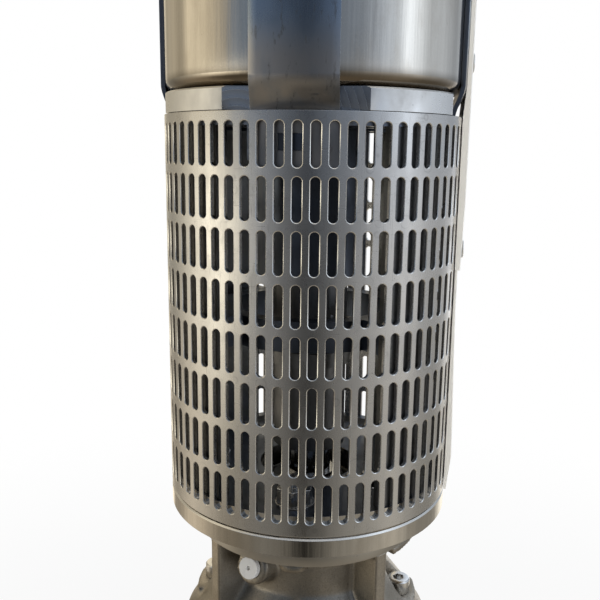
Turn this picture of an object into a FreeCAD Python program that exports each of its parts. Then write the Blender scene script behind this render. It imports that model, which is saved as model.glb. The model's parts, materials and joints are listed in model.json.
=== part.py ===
import FreeCAD, Part
import math
import os

from FreeCAD import Vector

os.makedirs("parts", exist_ok=True)

# Lengths are in millimetres and angles in degrees. The pump stands on the foot of its motor with
# the shaft line on +Z. Azimuth 0 is the front strap, which faces -Y, and +90 faces +X, where the
# cable guard runs.

# Stack heights, from the foot upwards
motor_length = 547.0
lower_ring_height = 9.2
strainer_seat_gap = 1.1
strainer_height = 196.8
upper_ring_gap = 0.2
upper_ring_height = 10.1
stage_count = 2
bowl_height = 113.0
valve_casing_height = 160.0

# Clearances
running_fit = 0.06
static_fit = 0.05
loose_fit = 0.3
screw_fit = 0.25

# How far a cutting tool runs past a face, and how far a fused piece runs into the next
overshoot = 1.0
overlap = 2.0

# Motor housing
sleeve_radius = 70.5
sleeve_wall = 3.0
foot_radius = 63.0
foot_chamfer_height = 12.0
bottom_bell_height = 44.0
bottom_spigot_length = 20.0
cover_thickness = 6.0
cover_radius = 48.0
cover_breather_radius = 3.0
cover_breather_offset = 20.0
diaphragm_thickness = 2.5
diaphragm_cup_radius = 30.0
diaphragm_floor_radius = 24.0
diaphragm_cup_depth = 14.0
diaphragm_space_height = 24.0
bell_web_thickness = 6.0
web_vent_radius = 6.0
clamp_ring_thickness = 12.0
clamp_ring_inner_radius = 46.0

# Thrust bearing
thrust_plate_radius = 44.0
thrust_plate_thickness = 6.0
pad_count = 6
pad_inner_radius = 20.0
pad_outer_radius = 42.0
pad_thickness = 6.0
pad_gap_angle = 10.0
thrust_disc_thickness = 10.0

# Motor core
journal_radius = 17.5
journal_bush_wall = 3.5
lower_bracket_height = 34.0
lower_bracket_flange = 12.0
bracket_hub_radius = 27.0
core_length = 250.0
winding_overhang = 30.0
winding_inner_radius = 42.0
winding_outer_radius = 61.0
liner_inner_radius = 35.6
liner_wall = 0.5
rotor_air_gap = 0.6
rotor_shaft_radius = 18.0
rotor_end_ring_height = 12.0
winding_clearance = 8.0

# Top end bell
flange_radius = 63.0
flange_thickness = 13.3
flange_underside_depth = 6.0
stud_boss_radius = 8.0
stud_boss_depth = 3.9
neck_radius = 44.5
neck_flare = 2.0
neck_depth = 42.0
cone_depth = 76.0
shoulder_height = 7.0
top_spigot_length = 16.0
top_spigot_inner_radius = 60.0
bell_cavity_depth = 62.0
bell_cavity_radius = 37.0
rib_outer_radius = 62.5
rib_thickness = 7.5
rib_depth = 62.0
pilot_radius = 38.1
pilot_height = 4.8
seal_seat_radius = 26.0
seal_seat_depth = 12.0
seal_inner_gap = 0.4
screw_circle_radius = 54.0
screw_seat_depth = 60.2
screw_pocket_radius = 9.0
screw_pocket_height = 33.0
screw_pocket_dome = 6.0
screw_pad_inner_radius = 48.0
screw_pad_wall = 4.0
screw_pad_half_angle = 14.0
bell_screw_length = 32.0

# Cable side of the motor flange
cable_boss_half_angle = 37.0
cable_boss_depth = 17.2
gland_azimuth = 66.0
gland_inset = 25.0
gland_flats = 22.0
gland_height = 9.0
gland_bore = 7.0
cable_hole_radius = 5.0
cable_bush_floor = 4.0
gland_seat_radius = 10.0
gland_seat_depth = 15.0
gland_clearance_radius = 14.2

# Fill plug
plug_azimuth = -24.5
plug_depth = 22.8
plug_tilt = 15.0
plug_boss_radius = 9.3
plug_boss_reach = 57.5
plug_boss_root = 42.0
plug_head_radius = 5.7
plug_head_thickness = 3.2
plug_shank_radius = 4.0
plug_shank_length = 12.0
plug_centre_hole_radius = 1.0
plug_centre_hole_depth = 2.0

# Fasteners: M8 socket heads, M10 studs, M6 and M5 small screws
m8_radius = 4.0
m8_head_radius = 6.5
m8_head_height = 8.0
m8_socket_flats = 6.0
m8_socket_depth = 4.5
m10_radius = 5.0
m10_nut_flats = 17.0
m10_nut_height = 8.4
m10_washer_radius = 10.0
m10_washer_thickness = 2.0
stud_circle_inset = 20.95
stud_engagement = 15.5
stud_tail = 4.0
m6_radius = 3.0
m6_head_radius = 5.0
m6_head_height = 4.0
m6_length = 12.0
m5_radius = 2.5
m5_head_radius = 4.75
m5_head_height = 0.7
m8_hex_flats = 13.0
m8_hex_height = 5.3
m8_washer_radius = 8.0
m8_washer_thickness = 1.6
foot_screw_circle_radius = 57.5
foot_screw_length = 62.0
foot_screw_recess = 9.5
cover_screw_circle_radius = 41.0

# Suction interconnector
body_radius = 76.5
edge_chamfer = 0.8
lower_flange_thickness = 17.0
lower_spigot_height = 20.0
lower_step_width = 7.5
lower_step_taper = 3.0
lower_bore_radius = 27.0
leg_inset = 3.0
leg_depth = 5.6
leg_half_angle = 12.5
leg_turn = 2.5
mid_ring_height = 15.5
mid_ring_bottom = 93.3
mid_ring_inner_radius = 42.0
mid_ring_outer_radius = 50.0
mid_web_thickness = 12.0
upper_spigot_depth = 6.2
strap_pad_depth = 21.3
strap_pad_half_angle = 17.0
upper_ring_width = 14.5
inlet_hub_radius = 29.2
inlet_hub_bore = 16.0
inlet_hub_relief_radius = 22.0
inlet_hub_gap = 3.0
inlet_arm_thickness = 8.0
inlet_hub_rise = 2.0
strap_flat_depth = 7.2
strap_lug_width = 14.0
strap_lug_height = 7.0
strap_lug_drop = 17.0

# Strainer
strainer_wall = 1.9
slot_columns = 60
slot_rows = 8
slot_width = 4.6
slot_length = 20.0
slot_row_pitch = 23.73
slot_first_azimuth = 1.5
slot_top_margin = 14.28

# Shaft line
spline_radius = 12.7
spline_root_depth = 1.4
spline_teeth = 15
spline_length = 60.0
spline_chamfer = 1.5
spline_runout = 4.0
journal_step_drop = 1.0
shaft_stickout = 73.0
seal_journal_radius = 15.0
sand_guard_radius = 23.0
sand_guard_height = 9.0
sand_guard_lip = 3.0
coupling_radius = 20.0
coupling_collar_radius = 22.5
coupling_collar_height = 8.0
coupling_length = 92.0
coupling_bottom_gap = 30.0
shaft_end_gap = 4.0
pump_shaft_radius = 11.0
pump_shaft_head = 12.0
set_screw_radius = 3.0
set_screw_drop = 14.0

# Stage
bowl_inset = 0.7
bowl_wall = 2.5
bowl_lip_radius = 6.0
bowl_top_rim = 9.8
eye_radius = 38.0
eye_wall = 1.8
neck_ring_wall = 3.0
neck_ring_flange_radius = 46.0
neck_ring_flange_thickness = 2.0
neck_ring_height = 12.0
impeller_bottom = 3.5
impeller_radius = 64.0
shroud_thickness = 2.0
hub_skirt_taper = 3.0
lower_shroud_start = 14.0
lower_shroud_end = 31.0
outlet_width = 17.0
hub_shroud_start = 40.0
impeller_hub_radius = 19.0
impeller_hub_top = 57.0
impeller_hub_bottom = 12.0
blade_count = 6
blade_thickness = 2.5
blade_wrap = 75.0
blade_inner_radius = 26.0
blade_inner_drop = 3.0
blade_outer_inset = 0.5
blade_hub_drop = 6.0
cone_wall = 3.0
cone_slit = 1.5
cone_thread_length = 13.0
cone_nut_radius = 20.0
cone_nut_height = 11.0
diffuser_bottom = 60.0
diffuser_plate_radius = 61.0
diffuser_plate_thickness = 2.5
diffuser_hub_gap = 2.5
diffuser_shell = 3.0
diffuser_hub_wall = 8.0
diffuser_hub_height = 15.0
vane_count = 8
vane_thickness = 2.5
vane_wrap = 20.0
stage_bush_wall = 6.0

# Valve casing and non-return valve
casing_skirt_height = 26.0
casing_skirt_step = 12.0
casing_taper_height = 28.0
casing_neck_radius = 67.5
casing_skirt_wall = 7.0
chamber_step = 1.5
thread_chamfer = 2.0
seat_web_height = 24.0
seat_web_thickness = 8.0
seat_web_hole_radius = 41.0
seat_radius = 46.0
seat_bore_radius = 37.0
seat_height = 6.0
retainer_drop = 2.0
valve_disc_radius = 44.0
valve_disc_edge = 3.0
valve_disc_thickness = 5.0
valve_plug_depth = 3.0
valve_plug_gap = 2.0
valve_plug_chamfer = 2.0
valve_seat_gap = 0.1
valve_lift = 15.0
valve_stem_radius = 6.0
valve_stem_length = 58.0
valve_stem_root = 8.0
valve_stem_chamfer = 1.0
guide_hub_radius = 14.0
guide_hub_height = 20.0
spring_open_room = 29.0
guide_arm_thickness = 5.0
guide_arm_count = 3
guide_rim_thickness = 4.0
guide_rim_height = 8.0
guide_arm_drop = 12.0
spring_wire_radius = 0.9
spring_radius = 10.5
spring_turns = 6
spring_wire_sides = 10
thread_bore_radius = 55.5
thread_length = 36.0
lift_hole_radius = 5.5
lift_ear_height = 22.0
lift_ear_thickness = 10.0
lift_ear_reach = 17.0
lift_hole_edge = 4.0

# Straps, flat on the upper ring and rolled to the bowls above it
strap_width = 39.0
strap_thickness = 2.1
strap_bow_drop = 1.5
strap_bow_height = 16.2
strap_bowl_gap = 0.15
strap_top_rise = 28.0
strap_bolt_rise = 15.0
strap_tail = 24.0
bolt_hole_depth = 5.0

# Cable guard, rolled in two lengths that lap
guard_wall = 1.0
guard_outer_stand = 3.6
guard_half_angle = 10.5
guard_body_gap = 0.4
guard_strap_gap = 0.1
upper_guard_bottom = 131.0
upper_guard_top_gap = 10.0
upper_guard_tuck = 0.8
upper_guard_tuck_height = 33.0
lower_guard_top = 150.0
lower_guard_bend = 108.0
lower_guard_hip = 28.0
lower_guard_bottom = 10.5
lower_guard_top_stand = 1.5
lower_guard_hip_stand = 3.4
lower_guard_foot_stand = 1.6
guard_screw_inset = 12.0
guard_screw_count = 3

# Heights that follow from the stack
face_height = motor_length
strainer_bottom = face_height + lower_ring_height + strainer_seat_gap
strainer_top = strainer_bottom + strainer_height
upper_ring_bottom = strainer_top + upper_ring_gap
upper_ring_top = upper_ring_bottom + upper_ring_height
stages_top = upper_ring_top + stage_count * bowl_height
pump_top = stages_top + valve_casing_height
sleeve_inner_radius = sleeve_radius - sleeve_wall
spigot_radius = sleeve_inner_radius - static_fit
sleeve_bottom = bottom_bell_height
sleeve_top = face_height - cone_depth - shoulder_height
strainer_inner_radius = body_radius - strainer_wall
strainer_seat_radius = strainer_inner_radius - static_fit
bowl_radius = body_radius - bowl_inset
stud_circle_radius = body_radius - stud_circle_inset
gland_radius_from_axis = body_radius - gland_inset
lower_step_radius = body_radius - lower_step_width
leg_outer_radius = body_radius - leg_inset
leg_inner_radius = leg_outer_radius - leg_depth
upper_bore_radius = body_radius - upper_ring_width
strap_flat_distance = body_radius - strap_flat_depth
coupling_bottom = face_height + coupling_bottom_gap
coupling_top = coupling_bottom + coupling_length
quarter_turns = (0.0, 90.0, 180.0, 270.0)
diagonal_turns = (45.0, 135.0, 225.0, 315.0)


def outward(radius, azimuth, height=0.0):
    """Point at a radius and azimuth, where azimuth 0 faces -Y and 90 faces +X."""
    angle = math.radians(azimuth)
    return Vector(radius * math.sin(angle), -radius * math.cos(angle), height)


def turned(shape, azimuth):
    """Copy of a shape drawn at azimuth 0, turned to another azimuth."""
    copy = shape.copy()
    copy.rotate(Vector(0, 0, 0), Vector(0, 0, 1), azimuth)
    return copy


def around(shape, azimuths):
    return [turned(shape, azimuth) for azimuth in azimuths]


def even(count, start=0.0):
    return [start + index * 360.0 / count for index in range(count)]


def revolved(points):
    """Solid of revolution about Z. A point is (radius, z), or three of them for an arc's middle and end."""
    edges = []
    place = Vector(points[0][0], 0, points[0][1])
    first = place
    for point in points[1:]:
        if len(point) == 4:
            middle = Vector(point[0], 0, point[1])
            end = Vector(point[2], 0, point[3])
            edges.append(Part.Arc(place, middle, end).toShape())
        else:
            end = Vector(point[0], 0, point[1])
            edges.append(Part.LineSegment(place, end).toShape())
        place = end
    if place.distanceToPoint(first) > 1e-6:
        edges.append(Part.LineSegment(place, first).toShape())
    face = Part.Face(Part.Wire(edges))
    return face.revolve(Vector(0, 0, 0), Vector(0, 0, 1), 360)


def tube(inner, outer, bottom, top):
    return revolved([(inner, bottom), (outer, bottom), (outer, top), (inner, top)])


def rod(radius, bottom, top, centre=Vector(0, 0, 0)):
    return Part.makeCylinder(radius, top - bottom, Vector(centre.x, centre.y, bottom))


def hexagon(flats, bottom, top, centre=Vector(0, 0, 0)):
    corner = flats / math.sqrt(3.0)
    points = []
    for index in range(7):
        angle = math.radians(60.0 * index + 30.0)
        points.append(centre.add(Vector(corner * math.cos(angle), corner * math.sin(angle), 0)))
    nut = Part.Face(Part.makePolygon(points)).extrude(Vector(0, 0, top - bottom))
    nut.translate(Vector(0, 0, bottom - centre.z))
    return nut


def block(width, near, far, bottom, top):
    """Box at azimuth 0, from one distance to another in front of the axis."""
    return Part.makeBox(width, far - near, top - bottom, Vector(-width / 2.0, -far, bottom))


def swept_sector(profile, half_angle):
    """Outline of (radius, z) points revolved to both sides of azimuth 0."""
    points = [Vector(radius, 0, height) for radius, height in profile]
    face = Part.Face(Part.makePolygon(points + points[:1]))
    solid = face.revolve(Vector(0, 0, 0), Vector(0, 0, 1), 2.0 * half_angle)
    return turned(solid, -90.0 - half_angle)


def sector(inner, outer, bottom, top, half_angle):
    """Ring sector centred on azimuth 0."""
    return swept_sector([(inner, bottom), (outer, bottom), (outer, top), (inner, top)], half_angle)


def joined(shapes):
    result = shapes[0].fuse(shapes[1:])
    return result.removeSplitter()


def arc_profile(path, thickness, bottom, top):
    """Wall of even thickness that follows a plan curve, standing on the plan."""
    left = []
    right = []
    for index, point in enumerate(path):
        before = path[max(index - 1, 0)]
        after = path[min(index + 1, len(path) - 1)]
        along = after.sub(before)
        along.normalize()
        side = Vector(-along.y, along.x, 0).multiply(thickness / 2.0)
        left.append(point.add(side))
        right.append(point.sub(side))
    sides = []
    for curve_points in (left, right):
        curve = Part.BSplineCurve()
        curve.interpolate(curve_points)
        sides.append(curve.toShape())
    ends = [Part.LineSegment(left[0], right[0]).toShape(), Part.LineSegment(left[-1], right[-1]).toShape()]
    wire = Part.Wire(Part.__sortEdges__(sides + ends))
    wall = Part.Face(wire).extrude(Vector(0, 0, top - bottom))
    wall.translate(Vector(0, 0, bottom))
    return wall


def export(name, *solids):
    shape = solids[0] if len(solids) == 1 else Part.makeCompound(list(solids))
    shape.exportStep("parts/" + name + ".step")


def cap_screw(head_seat, length, centre):
    """Socket head screw that points down, with its head on the seat height."""
    head = rod(m8_head_radius, head_seat, head_seat + m8_head_height, centre)
    shank = rod(m8_radius, head_seat - length, head_seat, centre)
    head_top = head_seat + m8_head_height
    socket = hexagon(m8_socket_flats, head_top - m8_socket_depth, head_top, centre)
    return head.fuse(shank).removeSplitter().cut(socket)


# Motor sleeve with the upper clamp ring that takes the bell screws
export("motor_sleeve", tube(sleeve_inner_radius, sleeve_radius, sleeve_bottom, sleeve_top))

clamp_top = sleeve_top - top_spigot_length
clamp_bottom = clamp_top - clamp_ring_thickness
clamp_ring = tube(clamp_ring_inner_radius, spigot_radius, clamp_bottom, clamp_top)
for turn in quarter_turns:
    centre = outward(screw_circle_radius, turn)
    clamp_ring = clamp_ring.cut(rod(m8_radius + static_fit, clamp_bottom, clamp_top, centre))
export("clamp_ring", clamp_ring)

# Bottom end bell with the diaphragm below its web and the thrust bearing above it
diaphragm_rim_bottom = cover_thickness
diaphragm_rim_top = diaphragm_rim_bottom + diaphragm_thickness
web_bottom = diaphragm_rim_top + diaphragm_space_height
web_top = web_bottom + bell_web_thickness
bottom_spigot_top = sleeve_bottom + bottom_spigot_length
cover_seat_radius = cover_radius + loose_fit
bearing_room_radius = thrust_plate_radius + static_fit
bottom_bell = revolved([
    (cover_seat_radius, 0), (foot_radius, 0), (sleeve_radius, foot_chamfer_height),
    (sleeve_radius, sleeve_bottom), (spigot_radius, sleeve_bottom), (spigot_radius, bottom_spigot_top),
    (bearing_room_radius, bottom_spigot_top), (bearing_room_radius, web_top), (web_vent_radius, web_top),
    (web_vent_radius, web_bottom), (diaphragm_cup_radius + cover_thickness, web_bottom),
    (diaphragm_cup_radius + cover_thickness, diaphragm_rim_top), (cover_seat_radius, diaphragm_rim_top)])
foot_screw_seat = foot_screw_recess
bottom_tools = []
for turn in diagonal_turns:
    centre = outward(foot_screw_circle_radius, turn)
    bottom_tools.append(rod(m8_head_radius + loose_fit, 0, foot_screw_seat, centre))
    bottom_tools.append(rod(m8_radius + screw_fit, 0, bottom_spigot_top, centre))
for turn in quarter_turns:
    centre = outward(cover_screw_circle_radius, turn)
    bottom_tools.append(rod(m6_radius + static_fit, diaphragm_rim_top, diaphragm_rim_top + m6_length, centre))
bottom_bell = bottom_bell.cut(Part.makeCompound(bottom_tools))
export("bottom_end_bell", bottom_bell)

cup_height = diaphragm_cup_depth
diaphragm = revolved([
    (0, diaphragm_rim_bottom + cup_height), (diaphragm_floor_radius, diaphragm_rim_bottom + cup_height),
    (diaphragm_cup_radius, diaphragm_rim_bottom + static_fit), (cover_radius, diaphragm_rim_bottom + static_fit),
    (cover_radius, diaphragm_rim_top), (diaphragm_cup_radius + diaphragm_thickness, diaphragm_rim_top),
    (diaphragm_floor_radius + diaphragm_thickness / 2.0, diaphragm_rim_bottom + cup_height + diaphragm_thickness),
    (0, diaphragm_rim_bottom + cup_height + diaphragm_thickness)])
cover = rod(cover_radius, 0, cover_thickness)
cover = cover.cut(rod(cover_breather_radius, 0, cover_thickness, outward(cover_breather_offset, 0)))
cover_screws = []
for turn in quarter_turns:
    centre = outward(cover_screw_circle_radius, turn)
    head_top = m6_head_height + loose_fit
    diaphragm = diaphragm.cut(rod(m6_radius + screw_fit, 0, diaphragm_rim_top, centre))
    cover = cover.cut(rod(m6_head_radius + loose_fit, 0, head_top, centre))
    cover = cover.cut(rod(m6_radius + screw_fit, 0, cover_thickness, centre))
    head = rod(m6_head_radius, loose_fit, head_top, centre)
    shank = rod(m6_radius, head_top, diaphragm_rim_top + m6_length, centre)
    cover_screws.append(head.fuse(shank).removeSplitter())
export("diaphragm", diaphragm)
export("diaphragm_cover", cover)
export("cover_screws", *cover_screws)

foot_screws = []
for turn in diagonal_turns:
    centre = outward(foot_screw_circle_radius, turn)
    head_bottom = foot_screw_seat - m8_head_height
    head = rod(m8_head_radius, head_bottom, foot_screw_seat, centre)
    shank = rod(m8_radius, foot_screw_seat, foot_screw_seat + foot_screw_length, centre)
    socket = hexagon(m8_socket_flats, head_bottom, head_bottom + m8_socket_depth, centre)
    foot_screws.append(head.fuse(shank).removeSplitter().cut(socket))

# Lower bearing bracket, which closes the bottom bell and takes its screws
bracket_bottom = bottom_spigot_top
bracket_top = bracket_bottom + lower_bracket_height
bush_outer_radius = journal_radius + running_fit + journal_bush_wall
bracket = revolved([
    (bush_outer_radius + static_fit, bracket_bottom), (spigot_radius, bracket_bottom),
    (spigot_radius, bracket_bottom + lower_bracket_flange),
    (bracket_hub_radius, bracket_bottom + lower_bracket_flange),
    (bracket_hub_radius, bracket_top), (bush_outer_radius + static_fit, bracket_top)])
screw_top = foot_screw_seat + foot_screw_length
for turn in diagonal_turns:
    centre = outward(foot_screw_circle_radius, turn)
    bracket = bracket.cut(rod(m8_radius + static_fit, bracket_bottom - overshoot, screw_top + overshoot, centre))
export("lower_bearing_bracket", bracket)
export("foot_screws", *foot_screws)
lower_bush = tube(journal_radius + running_fit, bush_outer_radius, bracket_bottom + loose_fit, bracket_top)
export("lower_bearing_bush", lower_bush)

# Thrust bearing: plate, tilting pads and the disc on the shaft
plate_top = web_top + thrust_plate_thickness
pads_top = plate_top + pad_thickness
disc_bottom = pads_top + running_fit
disc_top = disc_bottom + thrust_disc_thickness
export("thrust_plate", tube(web_vent_radius, thrust_plate_radius, web_top, plate_top))
pad_half_angle = (360.0 / pad_count - pad_gap_angle) / 2.0
pad = sector(pad_inner_radius, pad_outer_radius, plate_top, pads_top, pad_half_angle)
export("thrust_pads", *around(pad, even(pad_count)))

# Stator and rotor
core_bottom = bracket_top + winding_clearance + winding_overhang
core_top = core_bottom + core_length
liner_outer_radius = liner_inner_radius + liner_wall
rotor_core_radius = liner_inner_radius - rotor_air_gap
liner_bottom = bracket_top + winding_clearance
export("stator_liner", tube(liner_inner_radius, liner_outer_radius, liner_bottom, core_top + winding_overhang))
export("stator_core", tube(liner_outer_radius + static_fit, spigot_radius, core_bottom, core_top))
winding_round = (winding_outer_radius - winding_inner_radius) / 4.0
lower_winding = tube(winding_inner_radius, winding_outer_radius, core_bottom - winding_overhang, core_bottom)
lower_winding = lower_winding.makeFillet(winding_round, [
    edge for edge in lower_winding.Edges
    if edge.BoundBox.ZMax < core_bottom - winding_round and len(edge.Vertexes) == 1])
upper_winding = lower_winding.mirror(Vector(0, 0, (core_bottom + core_top) / 2.0), Vector(0, 0, 1))
export("stator_windings", lower_winding, upper_winding)
rotor_core = tube(rotor_shaft_radius + static_fit, rotor_core_radius, core_bottom - rotor_end_ring_height,
                  core_top + rotor_end_ring_height)
export("rotor_core", rotor_core)

# Motor shaft with its splined end
shaft_top = face_height + shaft_stickout
bush_top_height = face_height - seal_seat_depth
bell_bush_bottom = face_height - bell_cavity_depth
motor_shaft = revolved([
    (0, disc_bottom), (journal_radius, disc_bottom), (journal_radius, bracket_top + winding_clearance),
    (rotor_shaft_radius, bracket_top + winding_clearance), (rotor_shaft_radius, bell_bush_bottom - winding_clearance),
    (journal_radius, bell_bush_bottom - winding_clearance), (journal_radius, bush_top_height - journal_step_drop),
    (seal_journal_radius, bush_top_height - journal_step_drop), (seal_journal_radius, shaft_top - spline_length),
    (spline_radius, shaft_top - spline_length), (spline_radius, shaft_top - spline_chamfer),
    (spline_radius - spline_chamfer, shaft_top), (0, shaft_top)])
tooth_space = 2.0 * math.pi * spline_radius / spline_teeth / 2.0
groove = block(tooth_space, spline_radius - spline_root_depth, spline_radius + overshoot,
               shaft_top - spline_length + spline_runout, shaft_top + overshoot)
motor_shaft = motor_shaft.cut(Part.makeCompound(around(groove, even(spline_teeth))))
export("motor_shaft", motor_shaft)
thrust_disc_radius = thrust_plate_radius - 2.0 * loose_fit
export("thrust_disc", tube(journal_radius + static_fit, thrust_disc_radius, disc_bottom, disc_top))

# Top end bell: flange, neck, cone, ribs, stud bosses, cable boss and the screw pockets
def below_face(depth):
    return face_height - depth


bell = revolved([
    (seal_seat_radius + static_fit, face_height + pilot_height), (pilot_radius, face_height + pilot_height),
    (pilot_radius, face_height), (flange_radius, face_height), (flange_radius, below_face(flange_thickness)),
    (neck_radius + neck_flare, below_face(flange_thickness)),
    (neck_radius, below_face(flange_thickness + flange_underside_depth)), (neck_radius, below_face(neck_depth)),
    (sleeve_radius, below_face(cone_depth)), (sleeve_radius, sleeve_top), (spigot_radius, sleeve_top),
    (spigot_radius, clamp_top), (top_spigot_inner_radius, clamp_top), (top_spigot_inner_radius, sleeve_top),
    (bell_cavity_radius, bell_bush_bottom), (bush_outer_radius + static_fit, bell_bush_bottom),
    (bush_outer_radius + static_fit, bush_top_height), (seal_seat_radius + static_fit, bush_top_height)])
rib = block(rib_thickness, neck_radius - overlap, rib_outer_radius, below_face(rib_depth),
            below_face(flange_thickness))
stud_boss = rod(stud_boss_radius, below_face(flange_thickness + stud_boss_depth), below_face(flange_thickness),
                outward(stud_circle_radius, 0))
cable_boss = sector(neck_radius - overlap, flange_radius, below_face(cable_boss_depth),
                    below_face(flange_thickness), cable_boss_half_angle)
screw_pad = sector(screw_pad_inner_radius, top_spigot_inner_radius + screw_pad_wall, clamp_top,
                   below_face(screw_seat_depth), screw_pad_half_angle)


def on_plug_axis(radius, near, far):
    """Round solid on the fill plug's slanted axis, from one distance off the shaft line to another."""
    solid = Part.makeCylinder(radius, far - near, Vector(0, 0, near))
    solid.rotate(Vector(0, 0, 0), Vector(1, 0, 0), 90.0 - plug_tilt)
    solid.translate(Vector(0, 0, below_face(plug_depth) - plug_boss_reach * math.sin(math.radians(plug_tilt))))
    return turned(solid, plug_azimuth)


plug_shank_end = plug_boss_reach - plug_shank_length
plug_head_end = plug_boss_reach + plug_head_thickness
plug_boss = on_plug_axis(plug_boss_radius, plug_boss_root, plug_boss_reach)
bell = joined([bell] + around(rib, diagonal_turns) + around(stud_boss, quarter_turns)
              + [turned(cable_boss, 90.0), plug_boss] + around(screw_pad, quarter_turns))
pocket_foot = below_face(screw_seat_depth)
pocket_roof = pocket_foot + screw_pocket_height
pocket = revolved([
    (0, pocket_foot), (screw_pocket_radius, pocket_foot), (screw_pocket_radius, pocket_roof - screw_pocket_dome),
    (screw_pocket_radius / 2.0, pocket_roof), (0, pocket_roof)])
pocket.translate(outward(screw_circle_radius, 0))
screw_hole = rod(m8_radius + screw_fit, clamp_top - overshoot, pocket_foot + overshoot,
                 outward(screw_circle_radius, 0))
stud_hole = rod(m10_radius + static_fit, below_face(stud_engagement), face_height + overshoot,
                outward(stud_circle_radius, 0))
gland_centre = outward(gland_radius_from_axis, gland_azimuth)
gland_seat = rod(gland_seat_radius + static_fit, below_face(gland_seat_depth), face_height + overshoot,
                 gland_centre)
plug_hole = on_plug_axis(plug_shank_radius + static_fit, plug_shank_end, plug_boss_reach + overshoot)
bell_cuts = around(pocket, quarter_turns) + around(screw_hole, quarter_turns) + around(stud_hole, quarter_turns)
bell = bell.cut(Part.makeCompound(bell_cuts + [gland_seat, plug_hole]))
export("top_end_bell", bell)

bell_screw = cap_screw(pocket_foot, bell_screw_length, outward(screw_circle_radius, 0))
export("end_bell_screws", *around(bell_screw, quarter_turns))
upper_bush = tube(journal_radius + running_fit, bush_outer_radius, bell_bush_bottom, bush_top_height)
export("upper_bearing_bush", upper_bush)

plug_head = on_plug_axis(plug_head_radius, plug_boss_reach, plug_head_end)
plug_shank = on_plug_axis(plug_shank_radius, plug_shank_end, plug_boss_reach)
plug_dimple = on_plug_axis(plug_centre_hole_radius, plug_head_end - plug_centre_hole_depth,
                           plug_head_end + overshoot)
export("fill_plug", plug_head.fuse(plug_shank).removeSplitter().cut(plug_dimple))

# Shaft seal in the bell and the sand guard that turns above it
seal_inner_radius = seal_journal_radius + seal_inner_gap
seal_top = face_height
export("shaft_seal", tube(seal_inner_radius, seal_seat_radius, bush_top_height, seal_top))
sand_guard = revolved([
    (seal_journal_radius + static_fit, seal_top + loose_fit), (sand_guard_radius, seal_top + loose_fit),
    (sand_guard_radius - sand_guard_lip, seal_top + sand_guard_height),
    (seal_journal_radius + static_fit, seal_top + sand_guard_height)])
export("sand_guard", sand_guard)

# Cable gland: rubber bush in the flange under a hexagon jam nut
gland_nut = hexagon(gland_flats, face_height + static_fit, face_height + gland_height, gland_centre)
gland_nut = gland_nut.cut(rod(gland_bore, face_height, face_height + gland_height, gland_centre))
export("cable_gland", gland_nut)
gland_bush = rod(gland_seat_radius, below_face(gland_seat_depth), face_height, gland_centre)
bush_floor_top = below_face(gland_seat_depth - cable_bush_floor)
gland_bush = gland_bush.cut(rod(cable_hole_radius, bush_floor_top, face_height, gland_centre))
export("cable_bush", gland_bush)

# Suction interconnector: lower flange, four legs, middle ring, inlet spider and upper ring
flange_top = face_height + lower_flange_thickness
ring_top = face_height + lower_ring_height
step_top = face_height + lower_spigot_height
pilot_recess = pilot_height + loose_fit
lower_part = revolved([
    (pilot_radius + static_fit, face_height), (body_radius, face_height), (body_radius, ring_top - edge_chamfer),
    (body_radius - edge_chamfer, ring_top), (strainer_seat_radius, ring_top), (strainer_seat_radius, step_top),
    (lower_step_radius, step_top), (lower_step_radius - lower_step_taper, flange_top),
    (lower_bore_radius, flange_top),
    (lower_bore_radius, face_height + pilot_recess), (pilot_radius + static_fit, face_height + pilot_recess)])
upper_spigot_bottom = strainer_top - upper_spigot_depth
pad_bottom = strainer_top - strap_pad_depth
leg = sector(leg_inner_radius, leg_outer_radius, flange_top - overlap, upper_spigot_bottom + overlap, leg_half_angle)
mid_bottom = face_height + mid_ring_bottom
mid_top = mid_bottom + mid_ring_height
mid_ring = tube(mid_ring_inner_radius, mid_ring_outer_radius, mid_bottom, mid_top)
mid_web = block(mid_web_thickness, mid_ring_outer_radius - overlap, leg_inner_radius + overlap, mid_bottom, mid_top)
upper_part = revolved([
    (upper_bore_radius, upper_spigot_bottom), (strainer_seat_radius, upper_spigot_bottom),
    (strainer_seat_radius, upper_ring_bottom), (body_radius, upper_ring_bottom),
    (body_radius, upper_ring_top - edge_chamfer), (body_radius - edge_chamfer, upper_ring_top),
    (upper_bore_radius, upper_ring_top)])
hub_top = upper_ring_top - bowl_wall + inlet_hub_rise
hub_bottom = coupling_top + inlet_hub_gap
hub_bearing_radius = inlet_hub_bore + static_fit
hub = revolved([
    (inlet_hub_relief_radius, hub_bottom), (inlet_hub_radius, hub_bottom), (inlet_hub_radius, hub_top),
    (hub_bearing_radius, hub_top), (hub_bearing_radius, pad_bottom), (inlet_hub_relief_radius, pad_bottom)])
arm = block(inlet_arm_thickness, inlet_hub_radius - overlap, upper_bore_radius + overlap, upper_spigot_bottom,
            upper_ring_bottom)
pad = sector(upper_bore_radius, strainer_seat_radius, pad_bottom, upper_spigot_bottom + overlap, strap_pad_half_angle)
interconnector = joined([lower_part, upper_part, mid_ring, hub] + around(turned(leg, leg_turn), diagonal_turns)
                        + around(mid_web, diagonal_turns) + around(arm, diagonal_turns) + around(pad, quarter_turns))
flat = block(2.0 * body_radius, strap_flat_distance, body_radius + overshoot, pad_bottom - overshoot,
             upper_ring_top + overshoot)
stud_clearance = rod(m10_radius + screw_fit, face_height, step_top + overshoot, outward(stud_circle_radius, 0))
gland_hole = rod(gland_clearance_radius, face_height, flange_top + overshoot, gland_centre)
interconnector = interconnector.cut(Part.makeCompound(
    around(flat, quarter_turns) + around(stud_clearance, quarter_turns) + [gland_hole]))
lug_top = upper_ring_bottom - strap_lug_drop + strap_lug_height
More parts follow.
